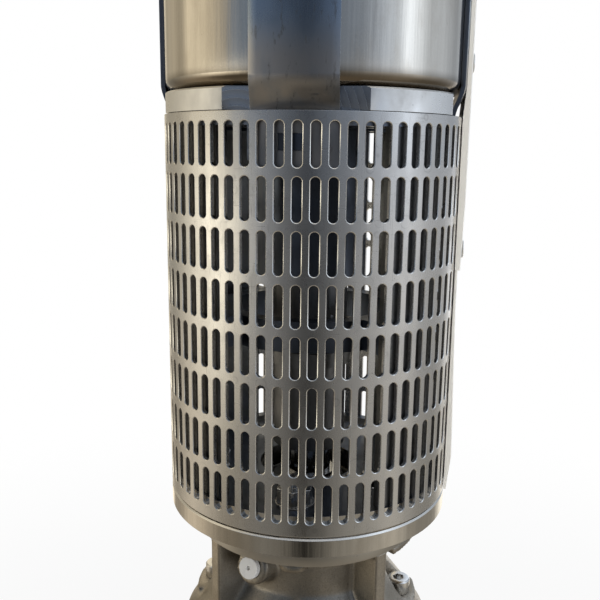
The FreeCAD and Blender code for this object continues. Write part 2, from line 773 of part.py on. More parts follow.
lug = block(strap_lug_width, strap_flat_distance - overlap, strap_flat_distance + strap_thickness,
            lug_top - strap_lug_height, lug_top)
interconnector = joined([interconnector] + around(lug, quarter_turns))
export("suction_interconnector", interconnector)

# Motor studs, washers and nuts on the lower flange
stud_seat = flange_top
nut_bottom = stud_seat + m10_washer_thickness
nut_top = nut_bottom + m10_nut_height
studs = []
nuts = []
washers = []
for turn in quarter_turns:
    centre = outward(stud_circle_radius, turn)
    studs.append(rod(m10_radius, below_face(stud_engagement), nut_top + stud_tail, centre))
    nut = hexagon(m10_nut_flats, nut_bottom, nut_top, centre)
    nuts.append(nut.cut(rod(m10_radius + static_fit, nut_bottom, nut_top, centre)))
    washer = rod(m10_washer_radius, stud_seat, nut_bottom, centre)
    washers.append(washer.cut(rod(m10_radius + screw_fit, stud_seat, nut_bottom, centre)))
export("motor_studs", *studs)
export("motor_nuts", *nuts)
export("motor_washers", *washers)

# Strainer: a rolled sheet with rows of slots
sheet = tube(strainer_inner_radius, body_radius, strainer_bottom, strainer_top)
slot_tools = []
rows_height = (slot_rows - 1) * slot_row_pitch
first_row = strainer_top - slot_top_margin - rows_height
slot = block(slot_width, strainer_inner_radius - overshoot, body_radius + overshoot,
             first_row - slot_length / 2.0, first_row + slot_length / 2.0)
for azimuth in even(slot_columns, slot_first_azimuth):
    for row in range(slot_rows):
        tool = turned(slot, azimuth)
        tool.translate(Vector(0, 0, row * slot_row_pitch))
        slot_tools.append(tool)
export("strainer", sheet.cut(Part.makeCompound(slot_tools)))

# Coupling between the splined motor shaft and the pump shaft
pump_shaft_bottom = shaft_top + shaft_end_gap
coupling = revolved([
    (spline_radius + static_fit, coupling_bottom), (coupling_radius, coupling_bottom),
    (coupling_radius, pump_shaft_bottom), (coupling_collar_radius, pump_shaft_bottom),
    (coupling_collar_radius, pump_shaft_bottom + coupling_collar_height),
    (coupling_radius, pump_shaft_bottom + coupling_collar_height), (coupling_radius, coupling_top),
    (pump_shaft_radius + static_fit, coupling_top), (pump_shaft_radius + static_fit, pump_shaft_bottom),
    (spline_radius + static_fit, pump_shaft_bottom)])
set_screw_height = coupling_top - set_screw_drop
set_screw_turns = (45.0, 225.0)


def forward_rod(radius, near, far, height):
    """Round solid that lies along azimuth 0, from one distance off the shaft line to another."""
    return Part.makeCylinder(radius, far - near, Vector(0, -near, height), Vector(0, -1, 0))


set_screw_hole = forward_rod(set_screw_radius + static_fit, 0, coupling_radius, set_screw_height)
coupling = coupling.cut(Part.makeCompound(around(set_screw_hole, set_screw_turns)))
export("coupling", coupling)
set_screw = forward_rod(set_screw_radius, pump_shaft_radius + static_fit, coupling_radius, set_screw_height)
export("coupling_screws", *around(set_screw, set_screw_turns))

pump_shaft_top = stages_top + pump_shaft_head
export("pump_shaft", rod(pump_shaft_radius, pump_shaft_bottom, pump_shaft_top))

inlet_bush = tube(pump_shaft_radius + running_fit, inlet_hub_bore, pad_bottom, hub_top)
export("inlet_bearing", inlet_bush)

# Stages: bowl, neck ring, impeller, split cone, cone nut, diffuser and its bush
def make_bowl(base):
    hole = eye_radius + running_fit + neck_ring_wall + static_fit
    outer = bowl_radius
    top_hole = bowl_radius - bowl_top_rim
    lip = bowl_lip_radius
    wall = bowl_wall
    inner_lip = lip - wall
    offset = lip * (1.0 - math.sqrt(0.5))
    inner_offset = inner_lip * (1.0 - math.sqrt(0.5))
    top = base + bowl_height
    return revolved([
        (hole, base), (outer - lip, base), (outer - offset, base + offset, outer, base + lip),
        (outer, top - lip), (outer - offset, top - offset, outer - lip, top), (top_hole, top),
        (top_hole, top - wall), (outer - lip, top - wall),
        (outer - wall - inner_offset, top - wall - inner_offset, outer - wall, top - lip), (outer - wall, base + lip),
        (outer - wall - inner_offset, base + wall + inner_offset, outer - lip, base + wall), (hole, base + wall)])


def make_impeller(base):
    skirt_bottom = base + impeller_bottom
    bend = base + lower_shroud_start
    edge = base + lower_shroud_end
    tip_radius = impeller_radius - blade_outer_inset
    upper = edge + outlet_width
    lower_shroud = revolved([
        (eye_radius - eye_wall, skirt_bottom), (eye_radius, skirt_bottom), (eye_radius, bend),
        (impeller_radius, edge - shroud_thickness), (impeller_radius, edge),
        (eye_radius - eye_wall, bend + shroud_thickness)])
    hub_line = base + hub_shroud_start
    bore = pump_shaft_radius + cone_wall + 2.0 * static_fit
    upper_shroud = revolved([
        (bore, base + impeller_hub_bottom), (impeller_hub_radius - hub_skirt_taper, base + impeller_hub_bottom),
        (impeller_hub_radius, hub_line), (impeller_radius, upper), (impeller_radius, upper + shroud_thickness),
        (impeller_hub_radius, hub_line + 2.0 * shroud_thickness), (impeller_hub_radius, base + impeller_hub_top),
        (bore, base + impeller_hub_top)])
    passage = revolved([
        (blade_inner_radius, bend - blade_inner_drop), (eye_radius - eye_wall / 2.0, bend + shroud_thickness / 2.0),
        (tip_radius, edge - shroud_thickness / 2.0), (tip_radius, upper + shroud_thickness / 2.0),
        (impeller_hub_radius + shroud_thickness / 2.0, hub_line + shroud_thickness),
        (impeller_hub_radius - overlap, hub_line - blade_hub_drop)])
    path = []
    root = impeller_hub_radius - hub_skirt_taper
    steps = 6
    for index in range(steps + 1):
        share = index / steps
        path.append(outward(root + (impeller_radius + overlap - root) * share, -blade_wrap * share))
    blade = arc_profile(path, blade_thickness, base, base + bowl_height / 2.0).common(passage)
    return joined([lower_shroud, upper_shroud] + around(blade, even(blade_count)))


def make_diffuser(base):
    bottom = base + diffuser_bottom
    plate_top = bottom + diffuser_plate_thickness
    top = base + bowl_height - bowl_wall
    seat = pump_shaft_radius + running_fit + stage_bush_wall + static_fit
    hub_radius = seat + diffuser_hub_wall
    hub_bottom = top - diffuser_hub_height
    shell = revolved([
        (impeller_hub_radius + diffuser_hub_gap, bottom), (diffuser_plate_radius, bottom),
        (diffuser_plate_radius, plate_top), (hub_radius, hub_bottom), (hub_radius, top), (seat, top),
        (seat, hub_bottom), (hub_radius - diffuser_shell, hub_bottom),
        (diffuser_plate_radius - 2.0 * diffuser_shell, plate_top), (impeller_hub_radius + diffuser_hub_gap, plate_top)])
    reach = bowl_radius - bowl_wall - static_fit
    root = hub_radius - diffuser_shell / 2.0
    passage = revolved([
        (diffuser_plate_radius - diffuser_shell / 2.0, bottom), (reach, bottom), (reach, top - bowl_lip_radius),
        (reach - bowl_lip_radius, top - static_fit), (root, top - static_fit), (root, hub_bottom)])
    path = []
    steps = 4
    for index in range(steps + 1):
        share = index / steps
        radius = hub_radius - overlap + (bowl_radius - hub_radius + overlap) * share
        path.append(outward(radius, vane_wrap * share * share))
    vane = arc_profile(path, vane_thickness, base, base + bowl_height).common(passage)
    return joined([shell] + around(vane, even(vane_count)))


def make_cone(base):
    bottom = base + impeller_hub_bottom
    top = base + impeller_hub_top + cone_thread_length
    cone = tube(pump_shaft_radius + static_fit, pump_shaft_radius + cone_wall + static_fit, bottom, top)
    slit = block(cone_slit, 0.0, pump_shaft_radius + 2.0 * cone_wall, bottom - overshoot, top + overshoot)
    return cone.cut(slit)


def make_cone_nut(base):
    bottom = base + impeller_hub_top
    flats = cone_nut_radius * math.sqrt(3.0)
    nut = hexagon(flats, bottom, bottom + cone_nut_height)
    bore = rod(pump_shaft_radius + cone_wall + 2.0 * static_fit, bottom, bottom + cone_nut_height)
    return nut.cut(bore)


neck_rings = []
split_cones = []
cone_nuts = []
stage_bearings = []
for stage in range(stage_count):
    base = upper_ring_top + stage * bowl_height
    label = str(stage + 1)
    eye_bore = eye_radius + running_fit
    ring_outer = eye_bore + neck_ring_wall
    neck_ring = revolved([
        (eye_bore, base), (ring_outer, base), (ring_outer, base + bowl_wall),
        (neck_ring_flange_radius, base + bowl_wall),
        (neck_ring_flange_radius, base + bowl_wall + neck_ring_flange_thickness),
        (ring_outer, base + bowl_wall + neck_ring_flange_thickness), (ring_outer, base + neck_ring_height),
        (eye_bore, base + neck_ring_height)])
    bush_top = base + bowl_height - bowl_wall
    bush_bottom = bush_top - diffuser_hub_height
    bush_bore = pump_shaft_radius + running_fit
    export("stage_bowl_" + label, make_bowl(base))
    export("impeller_" + label, make_impeller(base))
    export("diffuser_" + label, make_diffuser(base))
    neck_rings.append(neck_ring)
    split_cones.append(make_cone(base))
    cone_nuts.append(make_cone_nut(base))
    stage_bearings.append(tube(bush_bore, bush_bore + stage_bush_wall, bush_bottom, bush_top))
export("neck_rings", *neck_rings)
export("split_cones", *split_cones)
export("cone_nuts", *cone_nuts)
export("stage_bearings", *stage_bearings)

# Valve casing with its inner web, thread bore and lifting ears
casing_base = stages_top
skirt_top = casing_base + casing_skirt_height
taper_top = skirt_top + casing_taper_height
web_base = casing_base + seat_web_height
web_roof = web_base + seat_web_thickness
chamber_radius = thread_bore_radius - chamber_step
skirt_inner = bowl_radius - casing_skirt_wall
thread_base = pump_top - thread_length
casing = revolved([
    (skirt_inner, casing_base), (bowl_radius, casing_base), (bowl_radius, skirt_top), (casing_neck_radius, taper_top),
    (casing_neck_radius, pump_top - edge_chamfer), (casing_neck_radius - edge_chamfer, pump_top),
    (thread_bore_radius + thread_chamfer, pump_top), (thread_bore_radius, pump_top - thread_chamfer),
    (thread_bore_radius, thread_base), (chamber_radius, thread_base), (chamber_radius, web_roof),
    (seat_web_hole_radius, web_roof), (seat_web_hole_radius, web_base),
    (skirt_inner, casing_base + casing_skirt_step)])
ear_end = casing_neck_radius + lift_ear_reach
ear = block(lift_ear_thickness, casing_neck_radius - overlap, ear_end, thread_base - lift_ear_height, thread_base)
ear_hole = Part.makeCylinder(lift_hole_radius, 2.0 * lift_ear_thickness,
                             Vector(-lift_ear_thickness, lift_hole_radius + lift_hole_edge - ear_end,
                                    thread_base - lift_ear_height / 2.0), Vector(1, 0, 0))
strap_bolt_height = casing_base + strap_bolt_rise
bolt_hole = forward_rod(m8_radius + static_fit, bowl_radius - bolt_hole_depth, bowl_radius + overshoot,
                        strap_bolt_height)
ear_turns = (45.0, 225.0)
casing = joined([casing] + around(ear, ear_turns))
casing = casing.cut(Part.makeCompound(around(ear_hole, ear_turns) + around(bolt_hole, quarter_turns)))
export("valve_casing", casing)

# Non-return valve: seat, disc with stem, guide and spring
seat_top = web_roof + seat_height
seat = tube(seat_bore_radius, seat_radius, web_roof, seat_top)
export("valve_seat", seat)
retainer = tube(seat_radius + static_fit, chamber_radius - static_fit, web_roof, seat_top - retainer_drop)
export("seat_retainer", retainer)
disc_base = seat_top + valve_seat_gap
disc_roof = disc_base + valve_disc_thickness
stem_top = disc_roof + valve_stem_length
valve_plug_radius = seat_bore_radius - valve_plug_gap
guide_bottom = disc_roof + valve_lift + spring_open_room
guide_top = guide_bottom + guide_hub_height
valve_disc = revolved([
    (0, disc_base - valve_plug_depth), (valve_plug_radius - valve_plug_chamfer, disc_base - valve_plug_depth),
    (valve_plug_radius, disc_base), (valve_disc_radius, disc_base), (valve_disc_radius, disc_base + valve_disc_edge),
    (valve_stem_radius + valve_stem_root, disc_roof), (valve_stem_radius, disc_roof),
    (valve_stem_radius, stem_top - valve_stem_chamfer), (valve_stem_radius - valve_stem_chamfer, stem_top),
    (0, stem_top)])
export("valve_disc", valve_disc)
guide_hub = tube(valve_stem_radius + running_fit, guide_hub_radius, guide_bottom, guide_top)
guide_rim = tube(chamber_radius - static_fit - guide_rim_thickness, chamber_radius - static_fit,
                 thread_base - guide_rim_height, thread_base)
guide_arm = block(guide_arm_thickness, guide_hub_radius - overlap, chamber_radius - guide_rim_thickness / 2.0,
                  guide_top - guide_arm_drop, thread_base)
guide = joined([guide_hub, guide_rim] + around(guide_arm, even(guide_arm_count)))
export("valve_guide", guide)

# The wire's section is a polygon square to the helix, because a round one meshes badly
spring_room = guide_bottom - disc_roof - 2.0 * (spring_wire_radius + static_fit)
spring_foot = disc_roof + spring_wire_radius + static_fit
spring_pitch = spring_room / spring_turns
helix = Part.makeHelix(spring_pitch, spring_room, spring_radius)
helix.translate(Vector(0, 0, spring_foot))
lean = math.atan(spring_pitch / (2.0 * math.pi * spring_radius))
across = Vector(spring_wire_radius, 0, 0)
upright = Vector(0, -math.sin(lean), math.cos(lean)).multiply(spring_wire_radius)
section = []
for index in range(spring_wire_sides + 1):
    angle = 2.0 * math.pi * index / spring_wire_sides
    corner = Vector(across).multiply(math.cos(angle)).add(Vector(upright).multiply(math.sin(angle)))
    section.append(Vector(spring_radius, 0, spring_foot).add(corner))
spring = Part.Wire(helix).makePipeShell([Part.makePolygon(section)], True, True)
export("valve_spring", spring)

# Straps: flat where they hook the upper ring, then bowed out and rolled to lie on the bowls
def strap_section(height, half_angle):
    """Outline across a strap, straight at half angle 0 and rolled about the shaft line otherwise."""
    edges = []
    rims = []
    for step in (0.0, strap_thickness):
        if half_angle:
            rim = [outward(strap_high + step, side, height) for side in (-half_angle, 0.0, half_angle)]
            edges.append(Part.Arc(*rim).toShape())
        else:
            rim = [Vector(side, -strap_low - step, height) for side in (-strap_width / 2.0, strap_width / 2.0)]
            edges.append(Part.LineSegment(*rim).toShape())
        rims.append(rim)
    for end in (0, -1):
        edges.append(Part.LineSegment(rims[0][end], rims[1][end]).toShape())
    return Part.Wire(Part.__sortEdges__(edges))


strap_bottom = strainer_top - strap_tail
strap_low = strap_flat_distance
strap_high = bowl_radius + strap_bowl_gap
strap_outer = strap_high + strap_thickness
strap_top = casing_base + strap_top_rise
strap_half_angle = math.degrees(math.asin(strap_width / 2.0 / strap_outer))
bow_base = upper_ring_bottom - strap_bow_drop
bow_roof = bow_base + strap_bow_height
strap_foot = block(strap_width, strap_low, strap_low + strap_thickness, strap_bottom, bow_base)
strap_bow = Part.makeLoft([strap_section(bow_base, 0.0), strap_section(bow_roof, strap_half_angle)], True, True)
strap_roll = sector(strap_high, strap_outer, bow_roof, strap_top, strap_half_angle)
window = block(strap_lug_width + 2.0 * loose_fit, strap_low - overshoot, strap_low + strap_thickness + overshoot,
               lug_top - strap_lug_height - loose_fit, lug_top + loose_fit)
strap_hole = forward_rod(m8_radius + screw_fit, strap_low, strap_outer + overshoot, strap_bolt_height)
strap = joined([strap_foot, strap_bow, strap_roll]).cut(window).cut(strap_hole)
export("strap_front", strap)
export("strap_right", turned(strap, 90.0))
export("strap_back", turned(strap, 180.0))
export("strap_left", turned(strap, 270.0))

# Strap bolts and washers
bolt_head_base = strap_outer + m8_washer_thickness
bolts = []
bolt_washers = []
for turn in quarter_turns:
    head = hexagon(m8_hex_flats, bolt_head_base, bolt_head_base + m8_hex_height)
    shank = rod(m8_radius, bowl_radius - bolt_hole_depth + loose_fit, bolt_head_base)
    bolt = head.fuse(shank).removeSplitter()
    washer = tube(m8_radius + screw_fit, m8_washer_radius, strap_outer, bolt_head_base)
    for solid, group in ((bolt, bolts), (washer, bolt_washers)):
        solid.rotate(Vector(0, 0, 0), Vector(1, 0, 0), 90.0)
        solid.translate(Vector(0, 0, strap_bolt_height))
        group.append(turned(solid, turn))
export("strap_bolts", *bolts)
export("strap_washers", *bolt_washers)


# Cable guard on the +X side: an upper length over the strap, and one that flares down the strainer
def guard_shell(profile, seat, half_angle):
    """Rolled shell with side walls, open at both ends and towards the pump.

    The profile lists its outer (radius, z) points upwards, and the seat those of its side walls downwards.
    """
    bottom = profile[0][1] - overshoot
    top = profile[-1][1] + overshoot
    deep = body_radius - overshoot
    room = [(radius - guard_wall, height) for radius, height in profile]
    room = [(deep, bottom), (room[0][0], bottom)] + room + [(room[-1][0], top), (deep, top)]
    inner_angle = half_angle - math.degrees(guard_wall / guard_outer)
    return swept_sector(profile + seat, half_angle).cut(swept_sector(room, inner_angle))


guard_outer = body_radius + guard_outer_stand
upper_base = face_height + upper_guard_bottom
upper_roof = strap_bolt_height - upper_guard_top_gap
guard_near = body_radius + guard_body_gap
over_strap = strap_outer + guard_strap_gap
tuck_slope = upper_guard_tuck / upper_guard_tuck_height
tucked_radius = guard_outer - upper_guard_tuck
guard_upper = guard_shell(
    [(tucked_radius, upper_base), (guard_outer, upper_base + upper_guard_tuck_height), (guard_outer, upper_roof)],
    [(over_strap, upper_roof), (over_strap, bow_roof), (guard_near, upper_ring_bottom), (guard_near, upper_base)],
    guard_half_angle)
lower_base = face_height + lower_guard_bottom
lower_roof = face_height + lower_guard_top
lower_top_radius = body_radius + lower_guard_top_stand
lower_half_angle = guard_half_angle - math.degrees((guard_wall + loose_fit) / guard_outer)
guard_lower = guard_shell(
    [(body_radius + lower_guard_foot_stand, lower_base),
     (body_radius + lower_guard_hip_stand, face_height + lower_guard_hip),
     (lower_top_radius, face_height + lower_guard_bend), (lower_top_radius, lower_roof)],
    [(guard_near, lower_roof), (guard_near, lower_base)], lower_half_angle)
first_screw = bow_roof + guard_screw_inset
screw_step = (upper_roof - guard_screw_inset - first_screw) / (guard_screw_count - 1.0)
lap_screw_height = (upper_base + lower_roof) / 2.0
lap_screw_seat = tucked_radius + tuck_slope * (lap_screw_height + m5_head_radius - upper_base)
screw_places = [(first_screw + screw_step * index, strap_outer, guard_outer) for index in range(guard_screw_count)]
screw_places.append((lap_screw_height, lower_top_radius - guard_wall, lap_screw_seat))
guard_screws = []
for height, shank_end, head_seat in screw_places:
    hole = forward_rod(m5_radius + screw_fit, body_radius, guard_outer + overshoot, height)
    guard_upper = guard_upper.cut(hole)
    head = forward_rod(m5_head_radius, head_seat, head_seat + m5_head_height, height)
    shank = forward_rod(m5_radius, shank_end, head_seat, height)
    guard_screws.append(turned(head.fuse(shank).removeSplitter(), 90.0))
guard_lower = guard_lower.cut(hole)
export("cable_guard_upper", turned(guard_upper, 90.0))
export("cable_guard_lower", turned(guard_lower, 90.0))
export("guard_screws", *guard_screws)

print("parts", len(os.listdir("parts")), "height", round(pump_top, 2))
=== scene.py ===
import json
import math

import bmesh
import bpy
from mathutils import Matrix, Vector

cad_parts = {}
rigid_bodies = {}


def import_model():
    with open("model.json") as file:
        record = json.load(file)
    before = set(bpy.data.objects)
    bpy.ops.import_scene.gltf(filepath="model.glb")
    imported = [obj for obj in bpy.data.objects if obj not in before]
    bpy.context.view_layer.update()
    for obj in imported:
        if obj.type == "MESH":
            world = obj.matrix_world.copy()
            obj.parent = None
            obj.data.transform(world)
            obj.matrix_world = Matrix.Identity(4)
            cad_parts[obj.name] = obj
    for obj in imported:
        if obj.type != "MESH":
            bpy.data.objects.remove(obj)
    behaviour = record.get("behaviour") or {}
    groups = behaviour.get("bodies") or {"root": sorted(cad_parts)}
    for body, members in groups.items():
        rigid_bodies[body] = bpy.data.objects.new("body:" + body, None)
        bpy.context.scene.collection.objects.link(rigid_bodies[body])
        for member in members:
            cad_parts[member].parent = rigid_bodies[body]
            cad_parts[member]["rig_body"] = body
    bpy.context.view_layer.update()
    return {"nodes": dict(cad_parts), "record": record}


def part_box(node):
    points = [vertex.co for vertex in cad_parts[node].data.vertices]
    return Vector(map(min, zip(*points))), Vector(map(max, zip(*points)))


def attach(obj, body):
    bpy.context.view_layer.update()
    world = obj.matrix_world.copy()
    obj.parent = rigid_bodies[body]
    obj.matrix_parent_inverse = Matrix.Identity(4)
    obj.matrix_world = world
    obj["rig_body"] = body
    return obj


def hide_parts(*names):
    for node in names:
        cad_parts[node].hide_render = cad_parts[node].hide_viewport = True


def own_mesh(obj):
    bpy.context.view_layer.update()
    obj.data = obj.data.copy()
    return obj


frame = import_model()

mm = 0.001
nodes = frame["nodes"]
print("frame loaded:", len(nodes), "nodes")


# the camera stands 400 mm in front of the shaft line, a little to the right of the front strap
cameraSettings = {
    "focal": 745.87,  # in pixels of the picture, which is 600 across
    "picture": 600,
    "sensor": 36,
    "nearest": 0.01,
    "distance": 400.64 * mm,
    "azimuth": 6.5,
    "height": 737.33 * mm,
    "yaw": -0.0142379,
    "pitch": 0.1983785,
    "roll": 0.0127152,
}


def placeCamera(settings):
    turn = Matrix.Rotation(math.radians(settings["azimuth"]), 3, "Z")
    yaw, pitch, roll = settings["yaw"], settings["pitch"], settings["roll"]
    forward = Vector((math.sin(yaw) * math.cos(pitch), math.cos(yaw) * math.cos(pitch), -math.sin(pitch)))
    right = Vector((math.cos(yaw), -math.sin(yaw), 0))
    up = right.cross(forward)
    rolledRight = math.cos(roll) * right + math.sin(roll) * up
    rolledUp = -math.sin(roll) * right + math.cos(roll) * up
    basis = turn @ Matrix((rolledRight, rolledUp, -forward)).transposed()
    data = bpy.data.cameras.new("photoCamera")
    data.sensor_width = settings["sensor"]
    data.lens = settings["sensor"] * settings["focal"] / settings["picture"]
    data.clip_start = settings["nearest"]
    camera = bpy.data.objects.new("photoCamera", data)
    bpy.context.scene.collection.objects.link(camera)
    place = turn @ Vector((0, -settings["distance"], settings["height"]))
    camera.matrix_world = Matrix.Translation(place) @ basis.to_4x4()
    bpy.context.scene.camera = camera


placeCamera(cameraSettings)
print("camera placed")


# a value or colour that changes over a surface; plain arithmetic on it adds Math nodes
class Field:
    def __init__(self, finish, socket):
        self.finish = finish
        self.socket = socket

    def maths(self, operation, first, second):
        return self.finish.make("ShaderNodeMath", {0: first, 1: second}, operation=operation)

    def __add__(self, other):
        return self.maths("ADD", self, other)

    def __sub__(self, other):
        return self.maths("SUBTRACT", self, other)

    def __mul__(self, other):
        return self.maths("MULTIPLY", self, other)


# one shader tree and the single method that makes its nodes
class Shading:
    def __init__(self, tree):
        self.tree = tree

    def feed(self, socket, value):
        if isinstance(value, Field):
            self.tree.links.new(value.socket, socket)
        else:
            socket.default_value = (*value, 1.0) if socket.type == "RGBA" else value

    def make(self, kind, inputs=None, output=0, stops=(), **settings):
        node = self.tree.nodes.new(kind)
        for key, value in settings.items():
            setattr(node, key, value)
        for key, value in (inputs or {}).items():
            self.feed(node.inputs[key], value)
        if stops:
            elements = node.color_ramp.elements
            while len(elements) < len(stops):
                elements.new(1.0)
            for element, (position, colour) in zip(elements, stops):
                element.position = position
                element.color = (*colour, 1.0)
        return Field(self, node.outputs[output])

    def ranged(self, value, low, high, toLow=0.0, toHigh=1.0):
        limits = {"Value": value, "From Min": low, "From Max": high, "To Min": toLow, "To Max": toHigh}
        return self.make("ShaderNodeMapRange", limits, interpolation_type="SMOOTHSTEP")

    def mixShaders(self, factor, first, second):
        return self.make("ShaderNodeMixShader", {0: factor, 1: first, 2: second})


# one material: its Principled shader and the patterns that feed it, in the object's own coordinates
class Finish(Shading):
    def __init__(self, name, metallic, roughness, colour):
        self.material = bpy.data.materials.new(name)
        self.material.use_nodes = True
        super().__init__(self.material.node_tree)
        self.shader = self.tree.nodes["Principled BSDF"]
        self.where = self.make("ShaderNodeTexCoord", output="Object")
        self.put("Metallic", metallic)
        self.put("Roughness", roughness)
        self.put("Base Color", colour)

    def put(self, name, value):
        self.feed(self.shader.inputs[name], value)

    def axis(self, name):
        return self.make("ShaderNodeSeparateXYZ", {0: self.where}, name)

    def place(self, scale, shift=(0, 0, 0), turn=(0, 0, 0)):
        return self.make("ShaderNodeMapping", {"Vector": self.where, "Location": shift, "Rotation": turn,
                                               "Scale": scale})

    # size is the length in millimetres of one blotch, before the stretch
    def noise(self, size, stretch=(1, 1, 1), detail=3.0, shift=(0, 0, 0), rough=0.55, turn=(0, 0, 0)):
        spot = self.place(tuple(1000.0 / size / part for part in stretch), shift, turn)
        return self.make("ShaderNodeTexNoise", {"Vector": spot, "Scale": 1.0, "Detail": detail,
                                                "Roughness": rough})

    def cells(self, size):
        spot = self.place((1000.0 / size,) * 3)
        return self.make("ShaderNodeTexVoronoi", {"Vector": spot, "Scale": 1.0}, feature="F1")

    def dirt(self, size, stretch=1.4, least=0.70):
        return self.ranged(self.noise(size, (1, 1, stretch), 2.0, (0.8, 0.2, 0.4)), least, least + 0.08)

    def blend(self, factor, first, second):
        return self.make("ShaderNodeMix", {0: factor, 6: first, 7: second}, 2, data_type="RGBA")

    # what varies over every finish: its colour, its roughness and its relief, with a depth in millimetres
    def dressed(self, colour, roughness, relief, depth):
        self.put("Base Color", colour)
        self.put("Roughness", roughness)
        self.put("Normal", self.make("ShaderNodeBump", {"Height": relief, "Distance": depth * mm,
                                                        "Strength": 1.0}))
        return self.material


def shaded(colour, share):
    return tuple(part * share for part in colour)


def tinted(colour, other, share):
    return tuple(a * (1 - share) + b * share for a, b in zip(colour, other))


# stainless sheet and bar: a grain along one direction, soft smudges and a few dark specks
def steelFinish(name, colour, roughness, stretch=(1, 1, 1), grainSize=0.5, grainDepth=0.004, smudge=0.10,
                specks=0.12, sweep=0.05, metallic=1.0):
    finish = Finish(name, metallic, roughness, colour)
    grain = finish.noise(grainSize, stretch, 4.0)
    dirt = finish.dirt(1.7)
    smear = finish.ranged(finish.noise(28.0, (1, 1, 1.6), 4.0, (0.3, 0.1, 0.7), 0.6), 0.40, 0.68)
    brownish = shaded(tinted(colour, (0.5, 0.42, 0.3), 0.25), 0.55)
    tone = finish.blend(smear * smudge, colour, brownish)
    tone = finish.blend(dirt * specks, tone, shaded(colour, 0.25))
    gloss = (grain - 0.5) * sweep * 2 + smear * (smudge * 0.9) + dirt * 0.15 + roughness
    return finish.dressed(tone, gloss, grain, grainDepth)


# slotted sheet: short scratches both ways, the rims of dried drops and cloudy handling marks
def slottedFinish(name, colour, roughness):
    finish = Finish(name, 1.0, roughness, colour)
    grain = finish.noise(0.35, (1, 1, 6), 4.0)
    clouds = finish.ranged(finish.noise(11.0, (1, 1, 1.8), 4.0, (0.3, 0.1, 0.7), 0.62), 0.42, 0.66)
    upright = finish.noise(0.33, (1, 1, 40), 2.0, (0.2, 0.5, 0.6), 0.5, (0.7, 0.4, 0.0))
    level = finish.noise(0.38, (30, 30, 1), 2.0, (0.6, 0.1, 0.2), 0.5, (0.2, -0.3, 0.0))
    scratches, rubs = finish.ranged(upright, 0.66, 0.72), finish.ranged(level, 0.67, 0.73)
    drops = finish.cells(9.0)
    rims = finish.ranged(drops, 0.30, 0.335) * finish.ranged(drops, 0.375, 0.34) * clouds
    tone = finish.blend(clouds * 0.30, shaded(colour, 1.05), shaded(colour, 0.80))
    tone = finish.blend(finish.dirt(1.3) * 0.45, tone, shaded(colour, 0.25))
    tone = finish.blend((scratches + rubs) * 0.35 + rims * 0.30, tone, shaded(colour, 0.40))
    gloss = (grain - 0.5) * 0.10 + clouds * 0.07 + (scratches + rubs) * 0.08 + (roughness - 0.03)
    return finish.dressed(tone, gloss, grain + scratches * 0.6, 0.0016)


# deep-drawn and polished sheet: upright streaks bend the reflection under fine sparkle in the relief, painted
# glints in the colour and stains, and a lip is a colour that takes over between two heights in metres
def drawnFinish(name, colour, roughness, lip=None):
    finish = Finish(name, 1.0, roughness, colour)
    sparkle = finish.noise(0.45, (1, 1, 1), 2.0)
    streaks = finish.noise(4.2, (1, 1, 22), 3.0, (0.4, 0.2, 0.1))
    fine = finish.noise(1.1, (1, 1, 30), 2.0, (0.7, 0.3, 0.2))
    stains = finish.ranged(finish.noise(15.0, (1, 1, 2.5), 4.0, (0.6, 0.9, 0.3), 0.6), 0.46, 0.70)
    ridges, paintedGlints = finish.ranged(streaks, 0.36, 0.64), finish.ranged(sparkle, 0.40, 0.66)
    tone = finish.blend(ridges * 0.45, shaded(colour, 1.06), shaded(colour, 0.84))
    # painted glints: specks of the sheet's colour made brighter, standing in for a sparkle of light
    tone = finish.blend(paintedGlints * 0.22, tone, shaded(colour, 1.3))
    tone = finish.blend(stains * 0.22, tone, (0.42, 0.36, 0.28))
    tone = finish.blend(finish.dirt(1.5, 1.2, 0.71) * 0.2, tone, shaded(colour, 0.35))
    if lip:
        tone = finish.blend(finish.ranged(finish.axis("Z"), *lip["heights"]), tone, lip["colour"])
    gloss = sparkle * 0.10 + stains * 0.06 + fine * 0.06 + (roughness - 0.09)
    return finish.dressed(tone, gloss, streaks + fine * 0.12 + sparkle * 0.012, 0.10)


# rolled strap: mill colour above, browner towards its foot, with rubbed marks and scratches, and painted
# shade as a dark band across its bend; each place is in metres, from where each change starts to where it is
# full
strapWearAndShade = {
    "footColour": (0.47, 0.445, 0.425),
    "foot": (0.802, 0.776),
    # a dark band of painted shade across the strap's bend, under the bowl's lip
    "paintedShadeColour": (0.10, 0.10, 0.105),
    "paintedShadeTop": (0.7665, 0.7620),
    "paintedShadeBottom": (0.7550, 0.7580),
    "paintedShadeSide": (-0.004, 0.010),
    "markColour": (0.12, 0.115, 0.11),
    "wander": 0.01,
}


